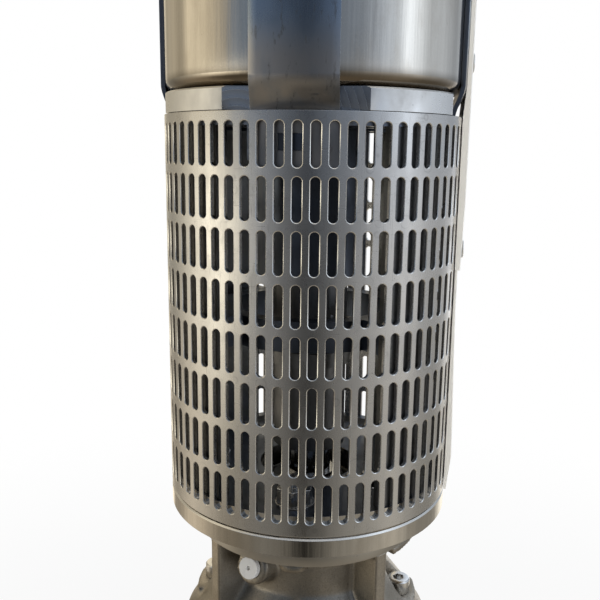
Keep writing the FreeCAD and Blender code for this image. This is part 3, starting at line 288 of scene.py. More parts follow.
def strapFinish(name, colour, roughness, wearAndShade):
    finish = Finish(name, 1.0, roughness, colour)
    height = finish.axis("Z")
    grain = finish.noise(0.6, (1, 1, 30), 4.0)
    clouds = finish.noise(13.0, (1, 1, 2.0), 4.0, (0.3, 0.1, 0.7), 0.6)
    marks = finish.ranged(finish.noise(3.2, (0.8, 1, 3.0), 4.0, (0.5, 0.2, 0.9), 0.65), 0.57, 0.69)
    foot = finish.ranged(height + clouds * wearAndShade["wander"], *wearAndShade["foot"])
    # painted shade: a dark band across the strap's bend, under the bowl's lip, deeper towards +X
    side = finish.ranged(finish.axis("X") + clouds * wearAndShade["wander"], *wearAndShade["paintedShadeSide"], 0.15, 1.0)
    paintedShadeBand = finish.ranged(height, *wearAndShade["paintedShadeTop"]) * finish.ranged(height, *wearAndShade["paintedShadeBottom"]) * side
    tone = finish.blend(foot, colour, wearAndShade["footColour"])
    tone = finish.blend(paintedShadeBand * 0.7, tone, wearAndShade["paintedShadeColour"])
    tone = finish.blend(finish.ranged(clouds, 0.42, 0.66) * 0.35, tone, shaded(colour, 0.62))
    tone = finish.blend(marks * 0.55, tone, wearAndShade["markColour"])
    gloss = grain * 0.10 + foot * 0.12 + marks * 0.15 + clouds * 0.10 + (roughness - 0.09)
    return finish.dressed(tone, gloss, grain + marks * 0.5, 0.003)


# investment casting: shot-blasted grain, small pits and a brownish bloom in broad patches
def castFinish(name, colour, roughness=0.46, grainSize=0.9, depth=0.10):
    finish = Finish(name, 1.0, roughness, colour)
    grain = finish.noise(grainSize)
    coarse = finish.noise(5.0, shift=(0.2, 0.6, 0.1))
    pits = finish.ranged(finish.cells(1.5), 0.05, 0.28, 1.0, 0.0)
    bloom = finish.ranged(finish.noise(26.0, shift=(0.9, 0.4, 0.2)), 0.38, 0.66)
    tone = finish.blend(bloom * 0.6, colour, tinted(shaded(colour, 0.62), (0.30, 0.25, 0.17), 0.35))
    tone = finish.blend(finish.ranged(grain, 0.35, 0.65) * 0.35, tone, shaded(colour, 0.55))
    tone = finish.blend(pits * 0.45, tone, shaded(colour, 0.35))
    gloss = bloom * 0.12 + coarse * 0.12 + grain * 0.10 + (roughness - 0.14)
    return finish.dressed(tone, gloss, grain * 0.6 + coarse * 1.8 - pits * 0.5, depth)


# flat faced by a milling cutter: overlapping arcs round the cutter's path, the centre in millimetres
def milledFinish(name, colour, centre, pitch=0.55, roughness=0.30):
    finish = Finish(name, 1.0, roughness, colour)
    spot = finish.place((1, 1, 1), tuple(-part * mm for part in centre))
    arcs = {"Vector": spot, "Scale": 1 / (20 * pitch * mm), "Distortion": 0.6, "Detail": 2.0,
            "Detail Scale": 0.4}
    wave = finish.make("ShaderNodeTexWave", arcs, wave_type="RINGS", rings_direction="SPHERICAL",
                       wave_profile="SAW")
    haze = finish.noise(6.0)
    rings = finish.ranged(wave, 0.1, 0.9)
    tone = finish.blend(rings * 0.5, colour, shaded(colour, 0.55))
    return finish.dressed(tone, rings * 0.16 + haze * 0.14 + (roughness - 0.10), wave, 0.02)


def rubberFinish(name, colour=(0.028, 0.028, 0.028)):
    finish = Finish(name, 0.0, 0.62, colour)
    grain = finish.noise(0.6)
    dust = finish.ranged(finish.noise(9.0, detail=4.0), 0.45, 0.75)
    tone = finish.blend(dust * 0.35, colour, (0.10, 0.095, 0.085))
    return finish.dressed(tone, grain * 0.2 + dust * 0.12 + 0.46, grain, 0.03)


def carbonFinish(name):
    finish = Finish(name, 0.0, 0.32, (0.035, 0.035, 0.038))
    grain = finish.noise(0.35, detail=2.0)
    tone = finish.blend(grain, (0.02, 0.02, 0.022), (0.06, 0.06, 0.065))
    return finish.dressed(tone, grain * 0.2 + 0.22, grain, 0.004)


def plasticFinish(name, colour):
    finish = Finish(name, 0.0, 0.38, colour)
    grain = finish.noise(0.8)
    grime = finish.ranged(finish.noise(3.5, detail=4.0, shift=(0.1, 0.7, 0.3)), 0.52, 0.80)
    tone = finish.blend(grime * 0.35, colour, shaded(colour, 0.66))
    return finish.dressed(tone, grain * 0.14 + grime * 0.2 + 0.30, grain, 0.02)


# thin insulated sheets stacked along the shaft
def laminationFinish(name, colour):
    finish = Finish(name, 1.0, 0.45, colour)
    layers = finish.noise(0.5, (400, 400, 1), 1.0)
    rust = finish.ranged(finish.noise(14.0, (1, 1, 0.5), 4.0), 0.5, 0.75)
    tone = finish.blend(rust * 0.4, colour, (0.16, 0.09, 0.05))
    return finish.dressed(tone, layers * 0.3 + rust * 0.2 + 0.28, layers, 0.08)


# enamelled wire laid round the end windings, under varnish
def windingFinish(name, colour):
    finish = Finish(name, 0.9, 0.34, colour)
    strands = finish.noise(0.9, (30, 30, 1), 2.0)
    lacing = finish.ranged(finish.noise(7.0, (0.6, 0.6, 3), 2.0), 0.55, 0.68)
    wire = finish.blend(finish.ranged(strands, 0.3, 0.7), shaded(colour, 0.55), colour)
    tone = finish.blend(lacing * 0.5, wire, (0.35, 0.22, 0.12))
    return finish.dressed(tone, strands * 0.3 + 0.2, strands, 0.25)


finishes = {
    "strainer_sheet": slottedFinish("strainerSheet", (0.625, 0.61, 0.59), 0.28),
    "slotRim": steelFinish("deburredSlotRim", (0.80, 0.78, 0.74), 0.26, grainDepth=0.001, smudge=0.0,
                           specks=0.1, metallic=0.96),
    "polished_sheet": drawnFinish("polishedBowlSheet", (0.705, 0.655, 0.58), 0.12,
                                  lip={"colour": (0.20, 0.165, 0.125), "heights": (0.7740, 0.7675)}),
    "strap_steel": strapFinish("rolledStrapSteel", (0.38, 0.455, 0.55), 0.25, strapWearAndShade),
    # the straps' sheared edges take a darker, bluer copy of the steel, which is painted shade
    "strapEdgePaintedShade": steelFinish("shearedStrapEdgePaintedShade", (0.26, 0.275, 0.31), 0.32, (1, 1, 4), grainSize=0.4,
                             specks=0.1),
    # the guard is a pale satin sheet; its cream colour and near-matte shading also paint in the sunlight on
    # it
    "guard_sheet": steelFinish("paleGuardSheetPaintedSunlight", (0.95, 0.905, 0.82), 0.42, (1, 1, 25), grainSize=0.6,
                               grainDepth=0.002, specks=0.1, metallic=0.05),
    "motor_sheet": steelFinish("drawnMotorTube", (0.58, 0.575, 0.565), 0.30, (30, 30, 1), grainDepth=0.002,
                               smudge=0.14, specks=0.15, sweep=0.07),
    "machined_steel": steelFinish("turnedSteel", (0.64, 0.62, 0.585), 0.25, (60, 60, 1), grainSize=0.35,
                                  grainDepth=0.003, smudge=0.16, specks=0.2, sweep=0.08),
    "cast_steel": castFinish("blastedCasting", (0.455, 0.41, 0.345)),
    "shaft_steel": steelFinish("groundShaftSteel", (0.62, 0.615, 0.61), 0.16, (40, 40, 1), grainSize=0.4,
                               grainDepth=0.001, smudge=0.08, specks=0.1),
    "formed_steel": steelFinish("pressedHydraulicSheet", (0.58, 0.575, 0.565), 0.26, grainSize=0.9,
                                grainDepth=0.003, smudge=0.2, specks=0.2),
    "fastener_steel": steelFinish("brightFastener", (0.78, 0.765, 0.74), 0.15, (6, 6, 1), smudge=0.15,
                                  specks=0.3),
    "pad_steel": steelFinish("lappedPadSteel", (0.55, 0.55, 0.54), 0.14, grainSize=0.8, grainDepth=0.001,
                             specks=0.1),
    "spring_steel": steelFinish("drawnSpringWire", (0.55, 0.55, 0.54), 0.22, grainDepth=0.002, specks=0.1),
    "black_rubber": rubberFinish("mouldedRubber"),
    "carbon": carbonFinish("lappedCarbon"),
    "core_iron": laminationFinish("stackedLaminations", (0.24, 0.24, 0.25)),
    "winding_copper": windingFinish("varnishedWindings", (0.72, 0.36, 0.18)),
    # the white plug's colour is lowered to a grey: painted shade on it
    "white_plastic": plasticFinish("whitePlugPaintedShade", (0.56, 0.55, 0.53)),
}
slotOfNode = {part["node"]: part["material_slot"] for part in frame["record"]["subparts"]}
for name, node in nodes.items():
    node.data.materials.clear()
    node.data.materials.append(finishes[slotOfNode[name]])
print("finishes made:", len(finishes))


def whole(bm):
    return bm.verts[:] + bm.edges[:] + bm.faces[:]


def copied(bm, source):
    copy = bmesh.ops.duplicate(bm, geom=source)["geom"]
    return [v for v in copy if isinstance(v, bmesh.types.BMVert)]


def repeated(bm, count, step):
    source = whole(bm)
    for index in range(1, count):
        bmesh.ops.translate(bm, verts=copied(bm, source), vec=tuple(part * index for part in step))


def turned(bm, verts, degrees):
    matrix = Matrix.Rotation(math.radians(degrees), 3, "Z")
    bmesh.ops.rotate(bm, verts=verts, cent=(0, 0, 0), matrix=matrix)


# a closed ring from its half section, which is points in millimetres as (radius, height)
def spun(profile, steps=144):
    bm = bmesh.new()
    ring = [bm.verts.new((radius * mm, 0, height * mm)) for radius, height in profile]
    edges = [bm.edges.new(pair) for pair in zip(ring, ring[1:] + ring[:1])]
    bmesh.ops.spin(bm, geom=ring + edges, cent=(0, 0, 0), axis=(0, 0, 1), angle=math.tau, steps=steps,
                   use_merge=True)
    bmesh.ops.remove_doubles(bm, verts=bm.verts, dist=1e-6)
    bmesh.ops.recalc_face_normals(bm, faces=bm.faces)
    return bm


def sharpEdges(bm, degrees):
    limit = math.radians(degrees)
    return [e for e in bm.edges if len(e.link_faces) == 2 and e.calc_face_angle(0) > limit]


def rounded(bm, edges, width):
    bmesh.ops.bevel(bm, geom=edges, offset=width * mm, offset_type="OFFSET", segments=2, profile=0.5,
                    affect="EDGES", clamp_overlap=True, material=-1)


# puts a mesh into the scene as a piece of one body, shaded smooth up to an angle
def piece(bm, name, body, slotName, materials=None, angle=28):
    mesh = bpy.data.meshes.new(name)
    bm.to_mesh(mesh)
    bm.free()
    made = bpy.data.objects.new(name, mesh)
    bpy.context.scene.collection.objects.link(made)
    for material in materials or [finishes[slotName]]:
        mesh.materials.append(material)
    mesh.shade_smooth()
    mesh.set_sharp_from_angle(angle=math.radians(angle))
    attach(made, body)
    return made


def nodeShape(node):
    bm = bmesh.new()
    bm.from_mesh(nodes[node].data)
    bmesh.ops.remove_doubles(bm, verts=bm.verts, dist=2e-6)
    return bm


def heights(node):
    low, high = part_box(node)
    return low.z / mm, high.z / mm


# a node's own shape with its edges broken; looks are materials by name, and a painter names one per face
def edged(node, width, angle=30, looks=None, painter=None, edgeLook=None, reshape=None):
    looks = looks or {"plain": finishes[slotOfNode[node]]}
    order = list(looks)
    bm = nodeShape(node)
    bmesh.ops.dissolve_limit(bm, angle_limit=math.radians(1.0), verts=bm.verts, edges=bm.edges)
    if reshape:
        reshape(bm)
    for face in bm.faces:
        place = face.calc_center_median() / mm
        face.material_index = order.index(painter(place, face.normal)) if painter else 0
    body = nodes[node]["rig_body"]
    made = piece(bm, node + "Edged", body, slotOfNode[node], list(looks.values()), angle)
    bevel = made.modifiers.new("brokenEdges", "BEVEL")
    bevel.width = width * mm
    bevel.segments = 2
    bevel.material = order.index(edgeLook) if edgeLook else -1
    bevel.limit_method = "ANGLE"
    bevel.angle_limit = math.radians(angle)
    bevel.use_clamp_overlap = True
    bevel.harden_normals = True
    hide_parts(node)


# share of a direction that points away from the shaft line at a place
def radialShare(place, normal):
    away = Vector((place.x, place.y, 0))
    return normal.dot(away.normalized()) if away.length > 0.1 else 0.0


# strainer: one slot is drawn flat, repeated over the sheet, and the sheet is rolled up
strainerSheet = {
    "radius": 76.5, "wall": 1.9, "columns": 60, "rows": 8, "rowPitch": 23.73, "topMargin": 14.28,
    "slotWidth": 4.6, "slotLength": 20.0, "corners": 12, "firstAzimuth": 1.5, "rim": 0.34,
    "rimDepth": 0.28, "sheetEdge": 0.35, "tolerance": 0.01,
    # share of the circle's radius past which one of its corners goes to the side of the cell
    "sideShare": 0.6,
}


def makeStrainer(s):
    bottom, top = heights("strainer")
    bm = bmesh.new()
    cellWidth = math.tau * s["radius"] / s["columns"]
    slotRadius = s["slotWidth"] / 2
    straight = (s["slotLength"] - s["slotWidth"]) / 2
    openRadius = slotRadius + s["rim"]

    def drawnCircle():
        circle = bmesh.ops.create_circle(bm, segments=s["corners"], radius=1.0)["verts"]
        turned(bm, circle, 180 / s["corners"])
        return circle

    inner, outer = drawnCircle(), drawnCircle()
    for v in inner:
        v.co = Vector((v.co.x * openRadius, v.co.y * openRadius + math.copysign(straight, v.co.y), 0))
    for v in outer:
        side = math.copysign(cellWidth / 2, v.co.x)
        level = math.copysign(s["rowPitch"] / 2, v.co.y)
        x = side if abs(v.co.x) > s["sideShare"] else v.co.x * openRadius
        y = level if abs(v.co.y) > s["sideShare"] else math.copysign(straight, v.co.y)
        v.co = Vector((x, y, 0))
    innerEdges = [e for e in bm.edges if e.verts[0] in inner]
    outerEdges = [e for e in bm.edges if e.verts[0] in outer]
    bmesh.ops.bridge_loops(bm, edges=innerEdges + outerEdges)
    # the deburred rim, the wall of the slot and the back of the sheet, one extrusion after another
    rings = ((s["rim"], s["rimDepth"], 1), (0.0, s["wall"] - s["rimDepth"], 0))
    loop = innerEdges
    for inset, drop, index in rings:
        grown = bmesh.ops.extrude_edge_only(bm, edges=loop)["geom"]
        loop = [g for g in grown if isinstance(g, bmesh.types.BMEdge) and len(g.link_faces) == 1]
        for f in [g for g in grown if isinstance(g, bmesh.types.BMFace)]:
            f.material_index = index
        for v in {v for e in loop for v in e.verts}:
            middle = Vector((0, math.copysign(straight, v.co.y), v.co.z))
            away = v.co - middle
            v.co = middle + away * (1 - inset / away.length) + Vector((0, 0, -drop))
    back = bmesh.ops.extrude_edge_only(bm, edges=loop)["geom"]
    backEdges = [g for g in back if isinstance(g, bmesh.types.BMEdge) and len(g.link_faces) == 1]
    for v in {v for e in backEdges for v in e.verts}:
        wide = abs(v.co.x) > s["sideShare"] * slotRadius
        tall = abs(v.co.y) > straight + s["sideShare"] * slotRadius
        x = math.copysign(cellWidth / 2, v.co.x) if wide else v.co.x / slotRadius * openRadius
        y = math.copysign(s["rowPitch"] / 2, v.co.y) if tall else math.copysign(straight, v.co.y)
        v.co = Vector((x, y, v.co.z))
    # rows, then columns
    repeated(bm, s["rows"], (0, -s["rowPitch"], 0))
    lowest = -(s["rows"] - 0.5) * s["rowPitch"]
    for v in bm.verts:
        if v.co.y > s["rowPitch"] / 2 - s["tolerance"]:
            v.co.y = s["topMargin"]
        elif v.co.y < lowest + s["tolerance"]:
            v.co.y = s["topMargin"] - (top - bottom)
    bmesh.ops.remove_doubles(bm, verts=bm.verts, dist=1e-3)
    repeated(bm, s["columns"], (cellWidth, 0, 0))
    # rolled up round the shaft line
    firstRow = top - s["topMargin"]
    for v in bm.verts:
        angle = v.co.x / s["radius"] + math.radians(s["firstAzimuth"])
        radius = (s["radius"] + v.co.z) * mm
        v.co = Vector((radius * math.sin(angle), -radius * math.cos(angle), (firstRow + v.co.y) * mm))
    bmesh.ops.remove_doubles(bm, verts=bm.verts, dist=1e-6)

    def atLevel(v, level):
        return abs(v.co.z / mm - level) < s["tolerance"]

    for level in (top, bottom):
        openEdges = [e for e in bm.edges if len(e.link_faces) == 1 and atLevel(e.verts[0], level)]
        bmesh.ops.bridge_loops(bm, edges=openEdges)
    bmesh.ops.recalc_face_normals(bm, faces=bm.faces)
    brink = [e for e in bm.edges if e.calc_face_angle(0) > 1.0
             and all(atLevel(v, top) or atLevel(v, bottom) for v in e.verts)]
    rounded(bm, brink, s["sheetEdge"])
    made = piece(bm, "slottedStrainer", "casing", "strainer_sheet",
                 [finishes["strainer_sheet"], finishes["slotRim"]], angle=20)
    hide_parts("strainer")


makeStrainer(strainerSheet)
print("strainer made")


# stage bowls: deep-drawn shells with a soft lip at both ends
bowlShape = {"radius": 75.8, "wall": 2.5, "lip": 6.0, "neck": 41.11, "topHole": 66.0, "steps": 180,
             "lipSteps": 6}


def makeBowl(node, s):
    bottom, top = heights(node)
    outer, lip, wall = s["radius"], s["lip"], s["wall"]

    def quarter(height, radius, start, end):
        points = []
        for index in range(s["lipSteps"] + 1):
            angle = math.radians(start + (end - start) * index / s["lipSteps"])
            points.append((outer - lip + radius * math.cos(angle), height + radius * math.sin(angle)))
        return points

    profile = [(s["neck"], bottom)]
    profile += quarter(bottom + lip, lip, -90, 0)
    profile += [(outer, bottom + 0.5 * (top - bottom))]
    profile += quarter(top - lip, lip, 0, 90)
    profile += [(s["topHole"], top), (s["topHole"], top - wall)]
    profile += quarter(top - lip, lip - wall, 90, 0)
    profile += quarter(bottom + lip, lip - wall, 0, -90)
    profile += [(s["neck"], bottom + wall)]
    made = piece(spun(profile, s["steps"]), node + "Drawn", "casing", "polished_sheet")
    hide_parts(node)


for name in ("stage_bowl_1", "stage_bowl_2"):
    makeBowl(name, bowlShape)
print("bowls made")


# interconnector: turned rings with bright chamfers, milled flats for the straps and plain cast legs; the
# upper ring carries a painted glint, and painted light on its top faces
interconnectorFaces = {
    "edge": 0.3, "castBottom": 563.5, "castRadius": 73.8, "insideRadius": 64.0,
    "flatDistance": 69.3, "flatDepth": 0.6, "flatBase": 731.0, "spigotTop": 752.9, "spigotRadius": 74.9,
    "ringBase": 755.0, "ringFaceRadius": 74.0,
    # shares of a normal that count as facing a direction, as square to it and as slanting
    "facing": 0.9, "square": 0.999, "slanting": 0.4,
    "frontCutter": (-26.0, -69.3, 742.0), "sideCutter": (69.3, -20.0, 742.0),
}


def makeInterconnector(s):
    looks = {
        "lowerRing": drawnFinish("turnedLowerRing", (0.64, 0.605, 0.55), 0.13),
        "frontFlat": milledFinish("frontStrapFlat", (0.50, 0.53, 0.58), s["frontCutter"]),
        "sideFlat": milledFinish("sideStrapFlat", (0.46, 0.46, 0.47), s["sideCutter"]),
        "legs": castFinish("interconnectorLegs", (0.30, 0.305, 0.31), 0.42, 0.8, 0.06),
        "chamfer": finishes["slotRim"],
        "inside": steelFinish("shadedInside", (0.13, 0.15, 0.19), 0.30, (1, 1, 8), grainSize=0.8,
                              grainDepth=0.006, smudge=0.3, specks=0.4),
        # the upper ring is polished, and its colour is made brighter still as a painted sun glint
        "upperRing": steelFinish("polishedUpperRingPaintedGlint", (0.86, 0.85, 0.83), 0.28, (3, 3, 1), grainSize=0.6,
                                 grainDepth=0.006, smudge=0.30, specks=0.25, sweep=0.10),
    }

    def painter(place, normal):
        outward = abs(radialShare(place, normal))
        reach = Vector(place.xy).length
        if place.z > s["ringBase"]:
            if outward > s["facing"] and reach > s["ringFaceRadius"]:
                return "upperRing"
            # faces that look up on the upper ring take the bright rim finish as painted light in the gap
            # under the bowl's lip
            if normal.z > s["facing"]:
                return "chamfer"
        flat = max(abs(normal.x), abs(normal.y)) > s["square"] and place.z > s["flatBase"]
        if flat and abs(max(abs(place.x), abs(place.y)) - s["flatDistance"]) < s["flatDepth"]:
            return "frontFlat" if abs(normal.y) > s["facing"] else "sideFlat"
        if place.z > s["castBottom"] and reach < s["insideRadius"]:
            return "inside"
        if s["flatBase"] < place.z < s["spigotTop"] and reach < s["spigotRadius"]:
            return "inside"
        if s["castBottom"] < place.z < s["flatBase"] and reach < s["castRadius"]:
            return "legs"
        slanted = s["slanting"] < outward < s["facing"] and abs(normal.z) > s["slanting"]
        return "chamfer" if slanted else "lowerRing"

    edged("suction_interconnector", s["edge"], 25, looks, painter)


makeInterconnector(interconnectorFaces)
print("interconnector made")


# top end bell: the casting is rebuilt on a fine grid so that every inner corner gets its soft radius
bellShape = {"grid": 1.25, "smoothing": 5, "smoothShare": 0.5, "flangeRadius": 63.0, "flangeDepth": 13.3,
             "pilotRadius": 38.1, "pilotHeight": 4.8, "bore": 26.05, "edge": 0.5, "sunk": 0.6}


def makeTopBell(s):
    pilot = heights("top_end_bell")[1]
    face = pilot - s["pilotHeight"]
    under = face - s["flangeDepth"]
    bm = nodeShape("top_end_bell")
    cut = bmesh.ops.bisect_plane(bm, geom=whole(bm), plane_co=(0, 0, (under + s["sunk"]) * mm),
                                 plane_no=(0, 0, 1), clear_outer=True)["geom_cut"]
    bmesh.ops.edgenet_fill(bm, edges=[g for g in cut if isinstance(g, bmesh.types.BMEdge)])
    casting = piece(bm, "top_end_bellCast", "casing", "cast_steel", angle=60)
    remesh = casting.modifiers.new("softRadii", "REMESH")
    remesh.mode = "VOXEL"
    remesh.voxel_size = s["grid"] * mm
    remesh.use_smooth_shade = True
    smooth = casting.modifiers.new("castSoftening", "SMOOTH")
    smooth.factor = s["smoothShare"]
    smooth.iterations = s["smoothing"]
    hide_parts("top_end_bell")
    bm = spun([(s["bore"], under), (s["flangeRadius"], under), (s["flangeRadius"], face),
               (s["pilotRadius"], face), (s["pilotRadius"], pilot), (s["bore"], pilot)])
    rounded(bm, sharpEdges(bm, 40), s["edge"])
    rim = steelFinish("turnedFlangeRim", (0.50, 0.48, 0.445), 0.30, (60, 60, 1), grainSize=0.35,
                      smudge=0.2, specks=0.2)
    flange = piece(bm, "motorFlangeTurned", "casing", "cast_steel", [rim])
    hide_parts("top_end_bell")


makeTopBell(bellShape)
print("top bell made")


# straps: dark rolled faces and sheared edges darkened as painted shade; the bend from the flat foot to the
# rolled part is made soft
strapShape = {"bendLow": 752.8, "bendHigh": 769.0, "cuts": 14, "flat": 69.3, "rolled": 75.95, "edge": 0.4,
              "guardEdge": 0.22, "sides": {"front": 0, "right": 90, "back": 180, "left": 270}}


def makeStraps(s):
    def painter(place, normal):
        return "face" if abs(radialShare(place, normal)) > 0.5 else "edge"

    def softBend(turn):
        away = Vector((math.sin(math.radians(turn)), -math.cos(math.radians(turn)), 0))
        across = Vector((away.y, -away.x, 0))

        def reshape(bm):
            rise = s["bendHigh"] - s["bendLow"]
            for index in range(1, s["cuts"]):
                level = (s["bendLow"] + rise * index / s["cuts"]) * mm
                bmesh.ops.bisect_plane(bm, geom=whole(bm), plane_co=(0, 0, level), plane_no=(0, 0, 1))
            for v in bm.verts:
                share = (v.co.z / mm - s["bendLow"]) / rise
                if 0 < share < 1:
                    reach = math.sqrt(s["rolled"] ** 2 - (v.co.dot(across) / mm) ** 2) - s["flat"]
                    v.co += away * ((3 - 2 * share) * share ** 2 - share) * reach * mm

        return reshape

    # the edge look is the darker steel of painted shade; the bright look is the deburred rim finish
    looks = {"face": finishes["strap_steel"], "edge": finishes["strapEdgePaintedShade"],
             "bright": finishes["slotRim"]}
    for side, turn in s["sides"].items():
        edgeLook = "bright" if side in ("front", "back") else None
        edged("strap_" + side, s["edge"], 40, looks, painter, edgeLook, softBend(turn))
    for part in ("upper", "lower"):
        edged("cable_guard_" + part, s["guardEdge"])


makeStraps(strapShape)
print("straps and guard made")


# socket head screws of the end bells; the breaks are small steps at an edge as (radius, height)
capScrewShape = {
    "head": 6.5, "headHeight": 8.0, "shank": 4.0, "length": 32.0, "chamfer": 0.7, "rim": 0.5,
    "underBreak": (0.2, 0.3), "rimBreak": (0.3, 0.12), "socketFlats": 6.0, "socketDepth": 4.5,
    "floorDrop": 0.8, "perSide": 4, "circle": 54.0, "turn": 12, "otherTurns": (90, 180, 270),
}


def capScrew(s, seat):
    bm = bmesh.new()
    count = 6 * s["perSide"]
    tip, top = seat - s["length"], seat + s["headHeight"]
    socketFloor = top - s["socketDepth"]
    corner = s["socketFlats"] / math.sqrt(3)
    rimRadius = s["head"] - s["rim"]

    def hexagonRadius(step):
        offset = (step % s["perSide"]) / s["perSide"] * math.pi / 3 - math.pi / 6
        return corner * math.cos(math.pi / 6) / math.cos(offset)

    # rings from the shank's tip to the socket's floor: a radius, or None in the socket, and a height
    sections = [
        (s["shank"] - s["chamfer"], tip), (s["shank"], tip + s["chamfer"]), (s["shank"], seat),
        (s["head"] - s["underBreak"][0], seat), (s["head"], seat + s["underBreak"][1]),
        (s["head"], top - s["chamfer"]), (rimRadius, top - s["rimBreak"][1]),
        (rimRadius - s["rimBreak"][0], top), (None, top), (None, socketFloor),
    ]
    loops = []
    for radius, height in sections:
        loop = []
        for step in range(count):
            reach = (radius or hexagonRadius(step)) * mm
            angle = math.tau * step / count
            loop.append(bm.verts.new((reach * math.cos(angle), reach * math.sin(angle), height * mm)))
        loops.append(loop)
    for lower, upper in zip(loops, loops[1:]):
        for step in range(count):
            after = (step + 1) % count
            bm.faces.new((lower[step], lower[after], upper[after], upper[step]))
    for loop, height in ((loops[0], tip), (loops[-1], socketFloor - s["floorDrop"])):
        middle = bm.verts.new((0, 0, height * mm))
        for step in range(count):
            bm.faces.new((loop[step], loop[(step + 1) % count], middle))
    bmesh.ops.recalc_face_normals(bm, faces=bm.faces)
    return bm


def makeCapScrews(s):
    seat = heights("end_bell_screws")[1] - s["headHeight"]
    bm = capScrew(s, seat)
    turned(bm, bm.verts, s["turn"])
    bmesh.ops.translate(bm, verts=bm.verts, vec=(0, -s["circle"] * mm, 0))
    source = whole(bm)
    for degrees in s["otherTurns"]:
        turned(bm, copied(bm, source), degrees)
    made = piece(bm, "socketHeadScrews", "casing", "fastener_steel", angle=35)
    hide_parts("end_bell_screws")


makeCapScrews(capScrewShape)
print("cap screws made")


# valve spring: round wire with closed, ground ends
springShape = {"radius": 10.5, "wire": 0.9, "turns": 6, "stepsPerTurn": 28, "sides": 10,
               "fixedEnd": 1077.5, "lift": 15.0}


def makeSpring(s):
    low, high = heights("valve_spring")
    bottom, rise = low + s["wire"], high - low - 2 * s["wire"]
    bm = bmesh.new()
    steps = s["turns"] * s["stepsPerTurn"]
    before = None
    for index in range(steps + 1):
        angle = math.tau * s["turns"] * index / steps
        out = Vector((math.cos(angle), math.sin(angle), 0))
        centre = out * s["radius"] + Vector((0, 0, bottom + rise * index / steps))
        loop = []
        for side in range(s["sides"]):
            around = math.tau * side / s["sides"]
            spoke = out * (s["wire"] * math.cos(around)) + Vector((0, 0, s["wire"] * math.sin(around)))
            loop.append(bm.verts.new((centre + spoke) * mm))
        if before:
            for side in range(s["sides"]):
                after = (side + 1) % s["sides"]
                bm.faces.new((before[side], before[after], loop[after], loop[side]))
        if index in (0, steps):
            bm.faces.new(loop)
        before = loop
    bmesh.ops.recalc_face_normals(bm, faces=bm.faces)
    made = piece(bm, "roundWireSpring", "casing", "spring_steel", angle=60)
    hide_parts("valve_spring")
    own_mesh(made)


makeSpring(springShape)
print("spring made")


# turned, pressed and moulded pieces that keep their own shape and only get broken edges, in millimetres
brokenEdges = {
    "fill_plug": 0.45, "motor_sleeve": 0.4, "bottom_end_bell": 1.2, "valve_casing": 0.9, "cable_gland": 0.6,
    "cable_bush": 0.5, "coupling": 0.5, "coupling_screws": 0.3, "sand_guard": 0.5, "strap_bolts": 0.45,
    "strap_washers": 0.3, "guard_screws": 0.35, "motor_nuts": 0.6, "motor_washers": 0.3, "motor_studs": 0.7,
    "inlet_bearing": 0.4, "valve_disc": 0.4, "valve_guide": 0.5, "valve_seat": 0.4, "seat_retainer": 0.3,
    "foot_screws": 0.5, "diaphragm_cover": 0.5, "cover_screws": 0.3, "clamp_ring": 0.4,
    "lower_bearing_bracket": 0.6, "thrust_disc": 0.4, "cone_nuts": 0.5, "neck_rings": 0.3,
}
darkTurned = steelFinish("darkTurnedSteel", (0.27, 0.27, 0.275), 0.30, (30, 30, 1), grainSize=0.4,
                         smudge=0.3, specks=0.3)
darkLooks = {"coupling": {"plain": darkTurned}, "coupling_screws": {"plain": darkTurned}}
for name, width in brokenEdges.items():
    edged(name, width, looks=darkLooks.get(name))
print("broken edges on", len(brokenEdges), "nodes")


